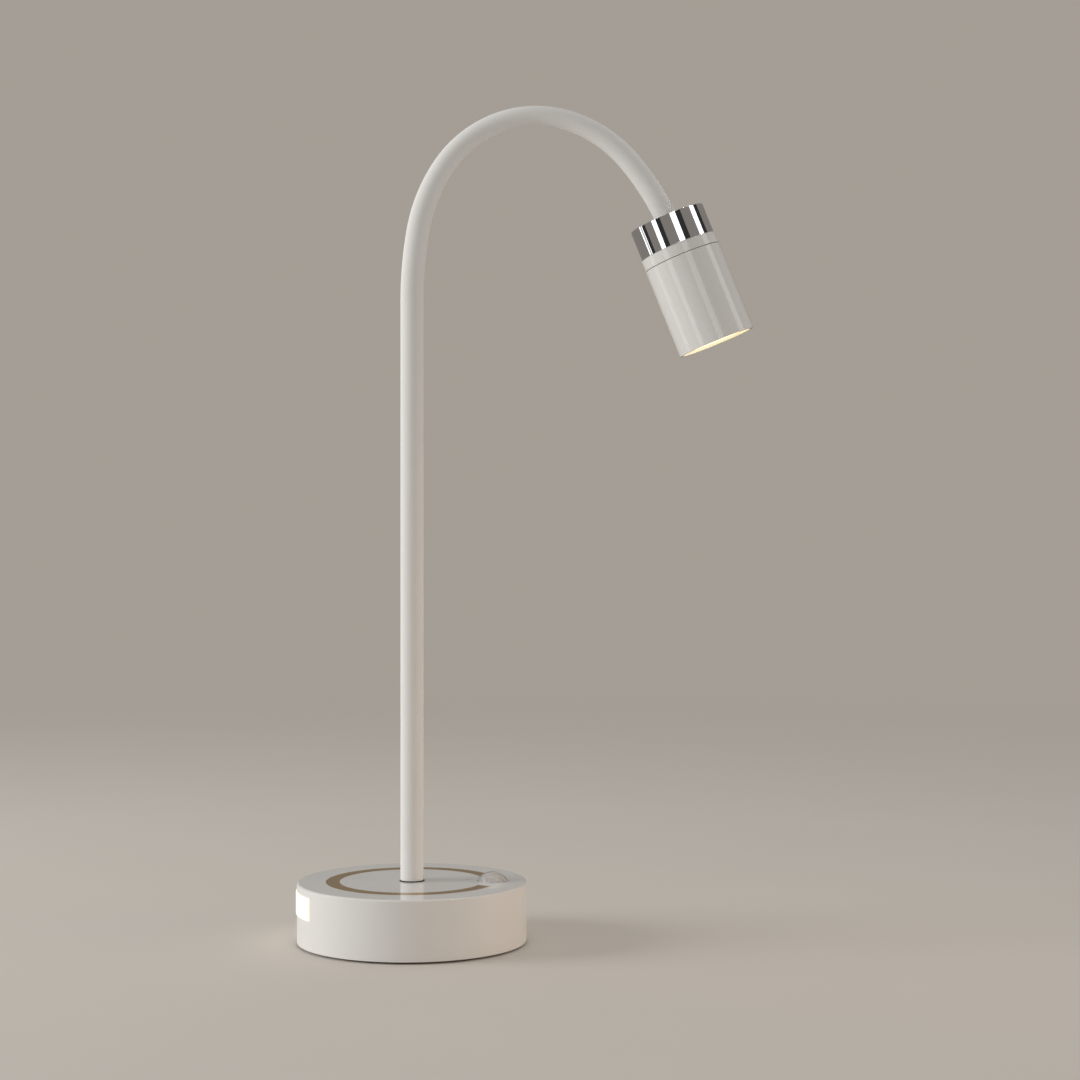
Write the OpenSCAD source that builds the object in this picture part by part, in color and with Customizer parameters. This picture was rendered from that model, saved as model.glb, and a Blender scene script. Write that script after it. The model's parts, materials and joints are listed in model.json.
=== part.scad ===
// Gooseneck desk lamp with a weighted round base, a touch-dimmed spot head,
// a motion sensor and a night light in the base.
// Millimetres. Z is up, the origin is the centre of the foot on the table,
// and the lamp head leans over towards +X.

/* [Base] */
// Diameter of the round base
base_d = 100; // [90:1:116]
// Height of the top face above the table
base_h = 26.7; // [26:0.1:32]
// Wall of the base shell
base_wall = 2.2; // [1.8:0.1:2.4]
// Thickness of the top plate
base_top = 2.2; // [1.8:0.1:2.6]
// Radius of the rounded top edge
base_edge_r = 0.9; // [0.6:0.1:2]
// Gap between the shell's lower rim and the table
shell_lift = 1; // [0.6:0.1:1.1]
// Thickness of the rubber foot
foot_t = 1.2; // [1.2:0.1:2]
// Width left bare around the rubber foot
foot_margin = 4; // [2:0.5:8]
// Thickness of the bottom cover
cover_t = 2.4; // [2.2:0.1:3]

/* [Accent ring] */
// Width of the white band between the ring and the base's edge
ring_margin = 12.5; // [11:0.5:15]
// Radial width of the bronze ring
ring_w = 6; // [3:0.5:8]
// Depth of the ring and its groove
ring_t = 0.8; // [0.5:0.1:1.1]
// Radius of the round gap in the ring at the sensor
ring_gap_r = 14.3; // [11:0.1:16]
// How far the gap's centre lies outside the sensor's
ring_gap_shift = 2.8; // [0:0.1:4]

/* [Motion sensor] */
// Distance of the sensor's middle from the base's edge
sensor_edge = 14.8; // [14:0.1:16]
// Radius of the clear dome
dome_r = 6.8; // [6:0.1:7.4]
// Height of the dome over the top face
dome_h = 4; // [3:0.1:5]
// Wall of the dome
dome_wall = 1.4; // [1:0.1:1.8]
// Radius of the sensor can
can_r = 4.05; // [3.6:0.05:4.4]
// Height of the sensor can
can_h = 4.2; // [3.6:0.1:4.6]

/* [Night light] */
// Half angle of the window, seen from above
window_half = 33; // [20:1:36]
// Height of the window
window_h = 9.7; // [7:0.1:10]
// Width of the band above the window
window_drop = 3.3; // [3.3:0.1:4.5]
// How far the window stands out of the shell
window_proud = 0.4; // [0.2:0.1:0.8]
// Number of night light LEDs
led_count = 4; // [2:1:4]

/* [Ballast] */
// Gap between the steel weight and the posts of the cover's screws
ballast_gap = 1.1; // [0.8:0.1:3]
// Thickness of the steel weight
ballast_t = 6.4; // [4:0.1:6.8]

/* [Main board] */
// Height of the board over the weight
board_lift = 2.1; // [1.6:0.1:2.4]
// Thickness of the circuit boards
board_t = 1.6; // [1:0.1:1.6]

/* [Battery] */
// Length of the flat cell
cell_l = 40; // [34:1:44]
// Width of the flat cell
cell_w = 25; // [20:1:26]
// Thickness of the flat cell
cell_t = 8; // [5:0.5:9]

/* [Charging port and mode switch] */
// Distance of the port and of the switch from the middle of the rear
rear_offset = 9; // [8:0.5:10]
// Travel of the switch to each side of its middle position
switch_travel = 2; // [1.5:0.1:2.2]
// Width of the switch knob
knob_w = 2.6; // [2:0.1:3]
// Height of the switch knob
knob_h = 2.4; // [2:0.1:2.6]
// How far the knob stands out of the base
knob_proud = 1; // [0.5:0.1:1.6]

/* [Neck] */
// Outer diameter of the silicone sleeve
neck_d = 10.1; // [9:0.1:11]
// Diameter of the wound steel conduit inside it
conduit_d = 7; // [6.4:0.1:7.4]
// Bore of the conduit
conduit_bore = 4.8; // [4.6:0.1:5]
// Length of the straight stem above the base
stem_len = 222.5; // [180:0.5:260]
// Number of equal lengths that the stem is divided into
stem_segments = 5; // [5:1:5]
// Length of each of the arch's seven segments
arch_len = 30.95; // [26:0.05:36]
// Bend of each of those segments, in degrees
bend_angles = [0, 10, 24.5, 35.5, 38, 31, 19];
// Free length between two runs of conduit, where the neck bends
conduit_gap = 4.4; // [4.2:0.1:6]
// Length of neck inside the lamp head
neck_insert = 6; // [5:0.1:8]
// Diameter of the two-core lead in the neck
lead_d = 2; // [1.4:0.1:2.4]
// Bend radius of the lead inside the base
lead_bend = 4; // [4:0.1:4.4]

/* [Lamp head] */
// Diameter of the white shell
head_d = 34.5; // [34:0.1:40]
// Diameter of the chrome collar
collar_d = 33.5; // [33:0.1:33.8]
// Height of the chrome collar
collar_h = 13.5; // [13:0.1:18]
// Height of the white cap under the collar
cap_h = 4.7; // [3:0.1:8]
// Height of the seam between the cap and the shell
seam_h = 0.25; // [0.1:0.05:0.5]
// Length of the white shell
shell_l = 39.95; // [38:0.05:50]
// Wall of the white shell
shell_wall = 1.6; // [1.2:0.1:2]
// Depth of the diffuser behind the shell's rim
diffuser_recess = 1.3; // [0.5:0.1:3]
// Thickness of the diffuser
diffuser_t = 1.5; // [1:0.1:2]
// Depth of the reflector
reflector_h = 9.9; // [7:0.1:12]
// Radius of the light-emitting chip
chip_r = 5.6; // [4:0.1:6]
// Gap between the cap's spigot and the heat sink
sink_gap = 0.8; // [0.5:0.1:4]

/* [Hidden] */

$fn = 96;
eps = 0.01;
// Clearance of a push fit, on each side
fit = 0.1;
// Clearance of a thread or shank in its hole, on each side
thread_fit = 0.05;
// Clearance of a screw in a plain hole, on each side
hole_gap = 0.2;
// Depth left free in a blind hole past the screw's end
blind_gap = 0.5;
// Least distance between a screw post and what stands beside it
post_gap = 1.2;
// Running clearance around the switch knob
run_gap = 0.35;

base_r = base_d / 2;
bore_r = base_r - base_wall;
ceiling_z = base_h - base_top;
cover_z = foot_t + cover_t;
ballast_z = cover_z + 0.3;
ballast_top = ballast_z + ballast_t;
board_z = ballast_top + board_lift;
board_top = board_z + board_t;

// Small screws of the cover and the board
screw_head_r = 2.2;
screw_head_h = 1.1;
screw_r = 0.95;
screw_l = 7.6;
post_r = 3;
cover_post_r = bore_r - post_r - post_gap;

// Larger screws of the weight
heavy_head_r = 2.9;
heavy_head_h = 2;
heavy_r = 1.45;
heavy_l = 14;
ballast_r = cover_post_r - post_r - ballast_gap;

dome_ball_r = (dome_r * dome_r + dome_h * dome_h) / (2 * dome_h);
dome_flange_t = 1.2;
dome_flange_w = 1.6;

// Outline of the main board, with the ring and the sensor over it
ring_in = base_r - ring_margin - ring_w;
sensor_x = base_r - sensor_edge;
board_edge_gap = 1;
board_front = -9;
board_step = 17;
board_half_w = 21;
board_hole_r = 9.5;
board_nose = 6;
board_post_r = 2.6;
board_post_x = sensor_x - dome_r - dome_flange_w - board_post_r - post_gap;
board_posts = [[-16, 30], [16, 30], [-board_post_x, 5], [board_post_x, 5]];
cell_y = board_front - 0.5;
front_post = [cell_l / 2 + post_r + 2, cell_y - post_r - 3.5];
rear_post = [board_half_w + post_r + board_edge_gap, board_step + post_r + 0.5];
ballast_posts = [[-front_post[0], front_post[1]], front_post, [-rear_post[0], rear_post[1]], rear_post];
// Chips of the main board, each with its place along X and Y and its size
chips = [[-9, 20, [5, 5, 0.9]], [10, 16, [6, 6, 2.8]], [-14, 12, [4, 4.9, 1.5]],
         [12, 24, [3, 3, 1]], [sensor_x - 5, 8, [4, 4, 1.5]]];
// The cell's socket on the main board, its plug and its two wires
cell_plug_x = -13;
cell_socket = [6.4, 3.5, 4.4];
cell_plug = [5.6, 3.5, 3.4];
cell_plug_gap = 0.5;
wire_r = 0.65;
wire_pitch = 2;
// Spring of the touch control
spring_y = 24;
spring_r = 3.2;
spring_wire_r = 0.35;
spring_turns = 7;
window_board_gap = 10.4;
window_board_x = window_board_gap - bore_r;
window_board_l = 38;
window_board_t = 1.2;
led_size = [0.8, 3.5, 2.8];
led_pitch = 9;

window_top = base_h - window_drop;
window_z = window_top - window_h;
window_lip = 1;
window_lip_t = 1.1;
window_lip_half = window_half + 2.5;

leg_r = 0.25;
leg_circle_r = 2.5;

port_w = 8.94;
port_h = 3.26;
port_l = 7.3;
port_wall = 0.3;
port_gap = 0.35;
port_tongue = [6.6, 0.7];
port_tongue_set = 0.8;
port_corner_r = port_h / 2 - 0.03;
port_set = 0.6;
port_mouth_y = chord_y(base_r, rear_offset) - port_set;

switch_size = [8.8, 4.5, 3.8];
switch_gap = 2.8;
switch_back_y = chord_y(bore_r, rear_offset + switch_size[0] / 2) - switch_gap - switch_size[1];
switch_wall_y = 1.2;
lever_w = 2;
lever_h = 1.6;
switch_z = board_top + switch_size[2] / 2;
knob_l = 4.6;
lever_seat = 1;
knob_tip_y = chord_y(base_r, rear_offset) + knob_proud;

// Threaded ferrules at the two ends of the neck
stud_r = 4;
nut_af = 13;
nut_h = 3;
nut_r = nut_af / sqrt(3);
spigot_l = 6;
head_spigot_l = 3;
spigot_r = conduit_bore / 2 - fit;
ferrule_bore_r = 1.6;
ferrule_z = ballast_top + nut_h + fit;
ferrule_slot_floor = 1.5;
lead_r = lead_d / 2;
neck_r = neck_d / 2;
neck_foot = lead_z() + lead_bend + 0.3;
// Hole around the neck, in the base and in the collar
neck_hole_r = neck_r + 0.4;
sleeve_bore_r = conduit_d / 2 + 0.15;
lead_plug_y = 13.5;
lead_plug = [6, 5, lead_z() + 2.4 - board_top];
segments = stem_segments + len(bend_angles);

// Lamp head, along its own axis from the collar's top plate
collar_r = collar_d / 2;
collar_wall = 1.4;
collar_top = 1.6;
head_r = head_d / 2;
cap_z = collar_h;
cap_end = cap_z + cap_h;
head_floor_z = neck_insert + 2;
head_floor_t = 2;
ferrule_flange_w = 1.4;
ferrule_tip = 1;
cap_spigot_r = collar_r - collar_wall - fit;
cap_bore_r = cap_spigot_r - 2;
shell_z = cap_end + seam_h;
head_end = shell_z + shell_l;
shell_bore_r = head_r - shell_wall;
shell_spigot_l = 5;
diffuser_z = head_end - diffuser_recess - diffuser_t;
reflector_z = diffuser_z - fit - reflector_h;
led_board_t = 1.6;
led_board_z = reflector_z - led_board_t;
led_screw_circle = 10;
led_screw_head_r = 1.9;
led_screw_head_h = 1.4;
led_screw_r = 1;
led_screw_l = 6;
chip_h = 1;
reflector_wall = 0.8;
sink_z = cap_end + shell_spigot_l + sink_gap;
sink_r = shell_bore_r - 0.15;
fin_pitch = 3.2;
fin_gap = 1.6;
sink_core_r = 9;

white = [0.90, 0.89, 0.87];
bronze = [0.50, 0.43, 0.30];
steel = [0.72, 0.72, 0.74];
chrome = [0.85, 0.86, 0.88];
board_green = [0.06, 0.30, 0.16];

// Distance of a circle's point from the X axis, at the distance x from the Y axis
function chord_y(r, x) = sqrt(r * r - x * x);

// Height of the lead where it leaves the base ferrule
function lead_z() = ferrule_z + ferrule_slot_floor + lead_r + 0.3;

// The neck's centreline is a chain of arcs in the XZ plane, and the last one ends inside the head
function seg_len(k) = k < stem_segments ? stem_len / stem_segments
    : arch_len + (k == segments - 1 ? neck_insert : 0);
function seg_bend(k) = k < stem_segments ? 0 : bend_angles[k - stem_segments];
function heading(k) = k == 0 ? 0 : heading(k - 1) + seg_bend(k - 1);
function arc_r(len, bend) = len * 180 / (PI * bend);
function chord(len, bend) = bend == 0 ? [0, 0, len]
    : [arc_r(len, bend) * (1 - cos(bend)), 0, arc_r(len, bend) * sin(bend)];
function turned(v, a) = [v[0] * cos(a) + v[2] * sin(a), 0, v[2] * cos(a) - v[0] * sin(a)];
function hinge(k) = k == 0 ? [0, 0, base_h]
    : hinge(k - 1) + turned(chord(seg_len(k - 1), seg_bend(k - 1)), heading(k - 1));

module tube(r_out, r_in, z0, z1) {
    difference() {
        translate([0, 0, z0]) cylinder(r = r_out, h = z1 - z0);
        translate([0, 0, z0 - 1]) cylinder(r = r_in, h = z1 - z0 + 2);
    }
}

module rod(r, z0, z1) {
    translate([0, 0, z0]) cylinder(r = r, h = z1 - z0);
}

module rounded_rect(w, d, r) {
    square([w - 2 * r, d], center = true);
    square([w, d - 2 * r], center = true);
    for (x = [-1, 1], y = [-1, 1])
        translate([x * (w / 2 - r), y * (d / 2 - r)]) circle(r = r);
}

// A wedge of the given half angle that opens towards -X
module wedge(half, r, z0, z1) {
    translate([0, 0, z0]) linear_extrude(z1 - z0)
        polygon([[0, 0], [-r, r * tan(half)], [-r, -r * tan(half)]]);
}

// Screw with its head's underside at z = 0 and its shank pointing up
module screw(head_r, head_h, shank_r, length) {
    difference() {
        union() {
            rod(head_r, -head_h, 0);
            rod(shank_r, -eps, length);
        }
        translate([0, 0, -head_h - 1]) cylinder(r = head_r * 0.5, h = 1 + head_h * 0.6, $fn = 6);
    }
}

// Ring of four places for the cover's screws, between the rear, the window and the front
module at_cover_posts() {
    for (a = [45:90:315]) rotate([0, 0, a]) translate([cover_post_r, 0, 0]) children();
}

module at_points(points) {
    for (p = points) translate([p[0], p[1], 0]) children();
}

// Sweeps a 2D section along segment k, from s0 to s1 millimetres from its start
module neck_run(k, s0, s1) {
    bend = seg_bend(k);
    len = seg_len(k);
    translate(hinge(k)) rotate([0, heading(k), 0]) {
        if (bend == 0) {
            translate([0, 0, s0]) linear_extrude(s1 - s0) children();
        } else {
            r = arc_r(len, bend);
            translate([r, 0, 0]) rotate([0, bend * s0 / len, 0]) rotate([90, 0, 180])
                rotate_extrude(angle = bend * (s1 - s0) / len) translate([r, 0]) children();
        }
    }
}

module at_head() {
    translate(hinge(segments)) rotate([0, heading(segments), 0])
        translate([0, 0, -neck_insert]) children();
}

module ring_section(r_out, r_in) {
    difference() {
        circle(r = r_out);
        circle(r = r_in);
    }
}

module foot_pad() {
    color("dimgray") rod(base_r - foot_margin, 0, foot_t);
}

module base_cover() {
    color("gainsboro") difference() {
        rod(bore_r - 0.2, foot_t, cover_z);
        at_cover_posts() {
            rod(screw_r + hole_gap, 0, cover_z + 1);
            rod(screw_head_r + hole_gap, 0, foot_t + screw_head_h + fit);
        }
    }
}

module base_screws() {
    color(steel) {
        at_cover_posts() translate([0, 0, foot_t + screw_head_h + fit])
            screw(screw_head_r, screw_head_h, screw_r, screw_l);
        at_points(board_posts) translate([0, 0, board_z])
            screw(screw_head_r, screw_head_h, screw_r, screw_l);
    }
}

module ring_area(r_in, r_out, gap_r, z0, z1) {
    difference() {
        tube(r_out, r_in, z0, z1);
        translate([sensor_x + ring_gap_shift, 0, 0]) rod(gap_r, z0 - 1, z1 + 1);
    }
}

module base_body() {
    rotate_extrude() difference() {
        union() {
            translate([0, shell_lift]) square([base_r, base_h - base_edge_r - shell_lift]);
            translate([0, shell_lift]) square([base_r - base_edge_r, base_h - shell_lift]);
            translate([base_r - base_edge_r, base_h - base_edge_r]) circle(r = base_edge_r);
        }
        square([bore_r, ceiling_z]);
        translate([-2 * base_r, 0]) square([2 * base_r, 2 * base_h]);
    }
}

module base_shell() {
    color(white) difference() {
        union() {
            base_body();
            at_cover_posts() rod(post_r, cover_z, ceiling_z + eps);
            at_points(board_posts) rod(board_post_r, board_top, ceiling_z + eps);
            at_points(ballast_posts) rod(post_r, ballast_top, ceiling_z + eps);
        }
        rod(neck_hole_r, ceiling_z - 1, base_h + 1);
        translate([sensor_x, 0, 0]) rod(dome_r + fit, ceiling_z - 1, base_h + 1);
        ring_area(ring_in, ring_in + ring_w, ring_gap_r, base_h - ring_t, base_h + 1);
        intersection() {
            wedge(window_half, 2 * base_r, window_z, window_top);
            tube(base_r + 1, bore_r - 0.5, window_z - 1, window_top + 1);
        }
        at_cover_posts()
            rod(screw_r + thread_fit, cover_z - 1, foot_t + screw_head_h + fit + screw_l + blind_gap);
        at_points(board_posts) rod(screw_r + thread_fit, board_top - 1, board_z + screw_l + blind_gap);
        at_points(ballast_posts)
            rod(heavy_r + thread_fit, ballast_top - 1, ballast_z + heavy_head_h + heavy_l + blind_gap);
        translate([-rear_offset, port_mouth_y - port_l, board_top + port_h / 2]) rotate([-90, 0, 0])
            linear_extrude(2 * port_l)
            rounded_rect(port_w + 2 * port_gap, port_h + 2 * port_gap, port_corner_r + port_gap);
        translate([rear_offset - switch_travel - knob_w / 2 - run_gap,
                   knob_tip_y - knob_l - run_gap, switch_z - knob_h / 2 - run_gap])
            cube([2 * switch_travel + knob_w + 2 * run_gap, 2 * knob_l, knob_h + 2 * run_gap]);
    }
}

module accent_ring() {
    color(bronze) ring_area(ring_in + thread_fit, ring_in + ring_w - thread_fit,
        ring_gap_r + thread_fit, base_h - ring_t, base_h);
}

module pir_lens() {
    ball_z = base_h + dome_h - dome_ball_r;
    flange_top = ceiling_z - fit;
    color([0.92, 0.93, 0.94, 0.6]) translate([sensor_x, 0, 0]) difference() {
        union() {
            intersection() {
                translate([0, 0, ball_z]) sphere(r = dome_ball_r);
                rod(dome_r + 1, base_h - eps, base_h + dome_h + 1);
            }
            rod(dome_r, flange_top - dome_flange_t, base_h);
            rod(dome_r + dome_flange_w, flange_top - dome_flange_t, flange_top);
        }
        intersection() {
            translate([0, 0, ball_z]) sphere(r = dome_ball_r - dome_wall);
            rod(dome_r, base_h - 2 * eps, base_h + dome_h);
        }
        rod(dome_r - dome_wall - 0.3, 0, base_h - eps);
    }
}

module pir_sensor() {
    can_z = ceiling_z - can_h;
    color(steel) translate([sensor_x, 0, 0]) {
        rod(can_r, can_z, ceiling_z);
        for (a = [0:120:240]) rotate([0, 0, a])
            translate([leg_circle_r, 0, 0]) rod(leg_r, board_top, can_z + eps);
    }
}

module board_outline() {
    intersection() {
        circle(r = bore_r - board_edge_gap);
        union() {
            translate([-board_half_w, board_front]) square([2 * board_half_w, base_r - board_front]);
            translate([window_board_x, board_front])
                square([sensor_x + board_nose - window_board_x, board_step - board_front]);
        }
    }
}

module main_board() {
    color(board_green) translate([0, 0, board_z]) linear_extrude(board_t) difference() {
        board_outline();
        circle(r = board_hole_r);
        at_points(board_posts) circle(r = screw_r + hole_gap);
    }
}

// Chip or connector that stands on the main board
module on_board(x, y, size) {
    translate([x - size[0] / 2, y, board_top]) cube(size);
}

module board_parts() {
    color("ivory") {
        on_board(0, lead_plug_y, lead_plug);
        on_board(cell_plug_x, 0, cell_socket);
    }
    color("black") for (c = chips) on_board(c[0], c[1], c[2]);
}

// Points of a round section about p, in the plane of the unit vectors u and v
function ring_at(p, u, v, r, sides) = [for (i = [0:sides - 1])
    p + r * cos(360 * i / sides) * u + r * sin(360 * i / sides) * v];

// Closed tube through stations, each a list of [point, u, v]
module swept(stations, r, sides) {
    n = len(stations) - 1;
    points = [for (s = stations) each ring_at(s[0], s[1], s[2], r, sides)];
    wall = [for (j = [0:n - 1], i = [0:sides - 1])
        let(a = j * sides + i, b = j * sides + (i + 1) % sides) [a, a + sides, b + sides, b]];
    ends = [[for (i = [0:sides - 1]) i], [for (i = [sides - 1:-1:0]) n * sides + i]];
    polyhedron(points, concat(wall, ends), convexity = 10);
}

function coil_station(r, a, z) = [[r * cos(a), r * sin(a), z], [cos(a), sin(a), 0], [0, 0, 1]];

module coil(r, wire, turns, z0, z1, steps = 16) {
    n = turns * steps;
    rise = z1 - z0 - 2 * wire;
    swept([for (j = [0:n]) coil_station(r, 360 * j / steps, z0 + wire + rise * j / n)], wire, 6);
}

module touch_spring() {
    color(steel) translate([0, spring_y, 0])
        coil(spring_r, spring_wire_r, spring_turns, board_top + thread_fit, ceiling_z - thread_fit);
}

module usb_c_port() {
    color(steel) translate([-rear_offset, port_mouth_y, board_top + port_h / 2]) rotate([90, 0, 0]) {
        difference() {
            linear_extrude(port_l) rounded_rect(port_w, port_h, port_corner_r);
            translate([0, 0, -port_wall]) linear_extrude(port_l)
                rounded_rect(port_w - 2 * port_wall, port_h - 2 * port_wall, port_corner_r - port_wall);
        }
        translate([-port_tongue[0] / 2, -port_tongue[1] / 2, port_tongue_set])
            cube([port_tongue[0], port_tongue[1], port_l - port_tongue_set - port_wall / 2]);
    }
}

module mode_switch_body() {
    slot_w = 2 * (switch_travel + run_gap) + lever_w;
    slot_h = lever_h + 2 * run_gap;
    color("dimgray") difference() {
        translate([rear_offset - switch_size[0] / 2, switch_back_y, board_top]) cube(switch_size);
        translate([rear_offset - slot_w / 2, switch_back_y + switch_wall_y, switch_z - slot_h / 2])
            cube([slot_w, switch_size[1], slot_h]);
    }
}

module mode_switch_slider() {
    lever_y = switch_back_y + switch_wall_y + run_gap;
    color("black") {
        translate([rear_offset - lever_w / 2, lever_y, switch_z - lever_h / 2])
            cube([lever_w, knob_tip_y - lever_seat - lever_y, lever_h]);
        translate([rear_offset - knob_w / 2, knob_tip_y - knob_l, switch_z - knob_h / 2])
            cube([knob_w, knob_l, knob_h]);
    }
}

module battery() {
    color("silver") translate([0, cell_y - cell_w / 2, ballast_top + fit])
        linear_extrude(cell_t) rounded_rect(cell_l, cell_w, 2);
}

module battery_lead() {
    plug_z = board_top + cell_plug_gap;
    color("firebrick") for (x = [-0.5, 0.5])
        translate([cell_plug_x + x * wire_pitch, cell_y, plug_z + cell_plug[2] / 2]) rotate([-90, 0, 0])
            cylinder(r = wire_r, h = -cell_plug[1] - cell_y);
    color("ivory") translate([cell_plug_x - cell_plug[0] / 2, -cell_plug[1], plug_z]) cube(cell_plug);
}

module night_light_window() {
    color([1, 0.93, 0.78]) {
        intersection() {
            wedge(window_half - 0.1, 2 * base_r, window_z + thread_fit, window_top - thread_fit);
            tube(base_r + window_proud, bore_r - fit - eps, window_z - 1, window_top + 1);
        }
        intersection() {
            wedge(window_lip_half, 2 * base_r, window_z - window_lip, window_top + window_lip);
            tube(bore_r - fit, bore_r - fit - window_lip_t, window_z - 2, window_top + 2);
        }
    }
}

module night_light_board() {
    color(board_green) translate([window_board_x - window_board_t, -window_board_l / 2, board_z])
        cube([window_board_t, window_board_l, window_top - board_z]);
}

module night_light_leds() {
    color([1, 0.85, 0.45]) for (i = [0:led_count - 1])
        translate([window_board_x - window_board_t - led_size[0],
                   (i - (led_count - 1) / 2) * led_pitch - led_size[1] / 2,
                   window_z + window_h / 2 - led_size[2] / 2]) cube(led_size);
}

module ballast() {
    color("gray") difference() {
        rod(ballast_r, ballast_z, ballast_top);
        rod(stud_r + thread_fit, 0, base_h);
        at_points(ballast_posts) {
            rod(heavy_r + hole_gap, 0, base_h);
            rod(heavy_head_r + hole_gap, 0, ballast_z + heavy_head_h);
        }
    }
}

module ballast_screws() {
    color(steel) at_points(ballast_posts) translate([0, 0, ballast_z + heavy_head_h])
        screw(heavy_head_r, heavy_head_h - fit, heavy_r, heavy_l);
}

module base_ferrule() {
    slot_z = ferrule_z + ferrule_slot_floor;
    color(steel) difference() {
        union() {
            rod(stud_r, ballast_z + 0.2, ferrule_z + eps);
            rod(neck_r - thread_fit, ferrule_z, neck_foot);
            rod(spigot_r, neck_foot - eps, neck_foot + spigot_l);
        }
        rod(ferrule_bore_r, slot_z, base_h + spigot_l);
        translate([-ferrule_bore_r, 0, slot_z]) cube([2 * ferrule_bore_r, neck_d, neck_foot - slot_z]);
    }
}

module base_lock_nut() {
    color(steel) lock_nut(ballast_top);
}

module lock_nut(z0) {
    difference() {
        translate([0, 0, z0]) cylinder(r = nut_r, h = nut_h, $fn = 6);
        rod(stud_r + thread_fit, z0 - 1, z0 + nut_h + 1);
    }
}

// Runs a 2D section along segment k of the neck, with the foot that stands in the base
module neck_piece(k, gap) {
    start = k == 0 ? neck_foot - base_h : gap;
    end_gap = k == segments - 1 ? 0 : gap;
    neck_run(k, start, seg_len(k) - end_gap) children();
}

module neck_sleeve(n) {
    color(white) neck_piece(n - 1, 0) ring_section(neck_r, sleeve_bore_r);
}

module neck_conduit(n) {
    color(steel) neck_piece(n - 1, conduit_gap / 2) ring_section(conduit_d / 2, conduit_bore / 2);
}

// Station on the neck's centreline, at the fraction f of segment k
function neck_station(k, f) = let(h = heading(k) + seg_bend(k) * f)
    [hinge(k) + turned(chord(seg_len(k) * f, seg_bend(k) * f), heading(k)),
     [cos(h), 0, -sin(h)], [0, 1, 0]];

// Station on the quarter bend from the connector up into the ferrule
function bend_station(a) = [[0, lead_bend * (1 - sin(a)), lead_z() + lead_bend * (1 - cos(a))],
    [1, 0, 0], [0, sin(a), cos(a)]];

function head_station(z) = let(h = heading(segments))
    [hinge(segments) + (z - neck_insert) * [sin(h), 0, cos(h)], [cos(h), 0, -sin(h)], [0, 1, 0]];

module lamp_lead() {
    color("black") swept(concat(
        [[[0, lead_plug_y, lead_z()], [1, 0, 0], [0, 0, 1]]],
        [for (a = [0:15:90]) bend_station(a)],
        [for (k = [0:segments - 1]) let(steps = seg_bend(k) == 0 ? 1 : 6)
            each [for (i = [0:steps - 1]) neck_station(k, i / steps)]],
        [head_station(neck_insert), head_station(led_board_z)]), lead_r, 8);
}

module chrome_collar() {
    color(chrome) at_head() difference() {
        rod(collar_r, 0, collar_h - fit);
        rod(collar_r - collar_wall, collar_top, collar_h + 1);
        rod(neck_hole_r, -1, collar_top + 1);
    }
}

module head_cap() {
    color(white) at_head() difference() {
        union() {
            rod(cap_spigot_r, head_floor_z, cap_z + eps);
            rod(head_r, cap_z, cap_end);
            rod(shell_bore_r - fit, cap_end - eps, cap_end + shell_spigot_l);
        }
        rod(cap_bore_r, head_floor_z + head_floor_t, head_end);
        rod(stud_r + thread_fit, 0, head_end);
    }
}

module head_shell() {
    color(white) at_head() tube(head_r, shell_bore_r, shell_z, head_end);
}

module head_ferrule() {
    color(steel) at_head() difference() {
        union() {
            rod(spigot_r, neck_insert - head_spigot_l, neck_insert + eps);
            rod(neck_r + ferrule_flange_w, neck_insert, head_floor_z);
            rod(stud_r, head_floor_z - eps, head_floor_z + head_floor_t + nut_h + ferrule_tip);
        }
        rod(ferrule_bore_r, 0, head_end);
    }
}

module head_lock_nut() {
    color(steel) at_head() lock_nut(head_floor_z + head_floor_t);
}

module heat_sink() {
    color("lightsteelblue") at_head() difference() {
        rod(sink_r, sink_z, led_board_z);
        for (z = [sink_z + fin_pitch : fin_pitch : led_board_z - 2 * fin_pitch])
            tube(sink_r + 1, sink_core_r, z, z + fin_gap);
        rod(ferrule_bore_r, 0, head_end);
        for (x = [-1, 1]) translate([x * led_screw_circle, 0, 0])
            rod(led_screw_r + thread_fit, reflector_z - led_screw_l - blind_gap, head_end);
    }
}

module led_board() {
    color("whitesmoke") at_head() difference() {
        rod(sink_r - 1, led_board_z, reflector_z);
        for (x = [-1, 1]) translate([x * led_screw_circle, 0, 0]) rod(led_screw_r + hole_gap, 0, head_end);
    }
}

module led_chip() {
    color("gold") at_head() rod(chip_r, reflector_z, reflector_z + chip_h);
}

module led_screws() {
    color(steel) at_head() for (x = [-1, 1])
        translate([x * led_screw_circle, 0, reflector_z]) rotate([180, 0, 0])
            screw(led_screw_head_r, led_screw_head_h, led_screw_r, led_screw_l);
}

module reflector() {
    mouth_r = sink_r;
    throat_r = chip_r + 1;
    foot_h = 1.2;
    color("silver") at_head() rotate_extrude() translate([0, reflector_z]) polygon([
        [throat_r, 0], [throat_r + reflector_wall, 0], [throat_r + reflector_wall, foot_h],
        [mouth_r, reflector_h - 1], [mouth_r, reflector_h], [mouth_r - reflector_wall, reflector_h],
        [throat_r, foot_h + reflector_wall / 2]]);
}

module front_diffuser() {
    color([1, 0.95, 0.82]) at_head() rod(sink_r, diffuser_z, diffuser_z + diffuser_t);
}

foot_pad();
base_cover();
base_screws();
base_shell();
accent_ring();
pir_lens();
pir_sensor();
main_board();
board_parts();
touch_spring();
usb_c_port();
mode_switch_body();
mode_switch_slider();
battery();
battery_lead();
night_light_window();
night_light_board();
night_light_leds();
ballast();
ballast_screws();
base_ferrule();
base_lock_nut();
lamp_lead();
for (n = [1:12]) neck_sleeve(n);
for (n = [1:12]) neck_conduit(n);
chrome_collar();
head_cap();
head_shell();
head_ferrule();
head_lock_nut();
heat_sink();
led_board();
led_chip();
led_screws();
reflector();
front_diffuser();
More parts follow.
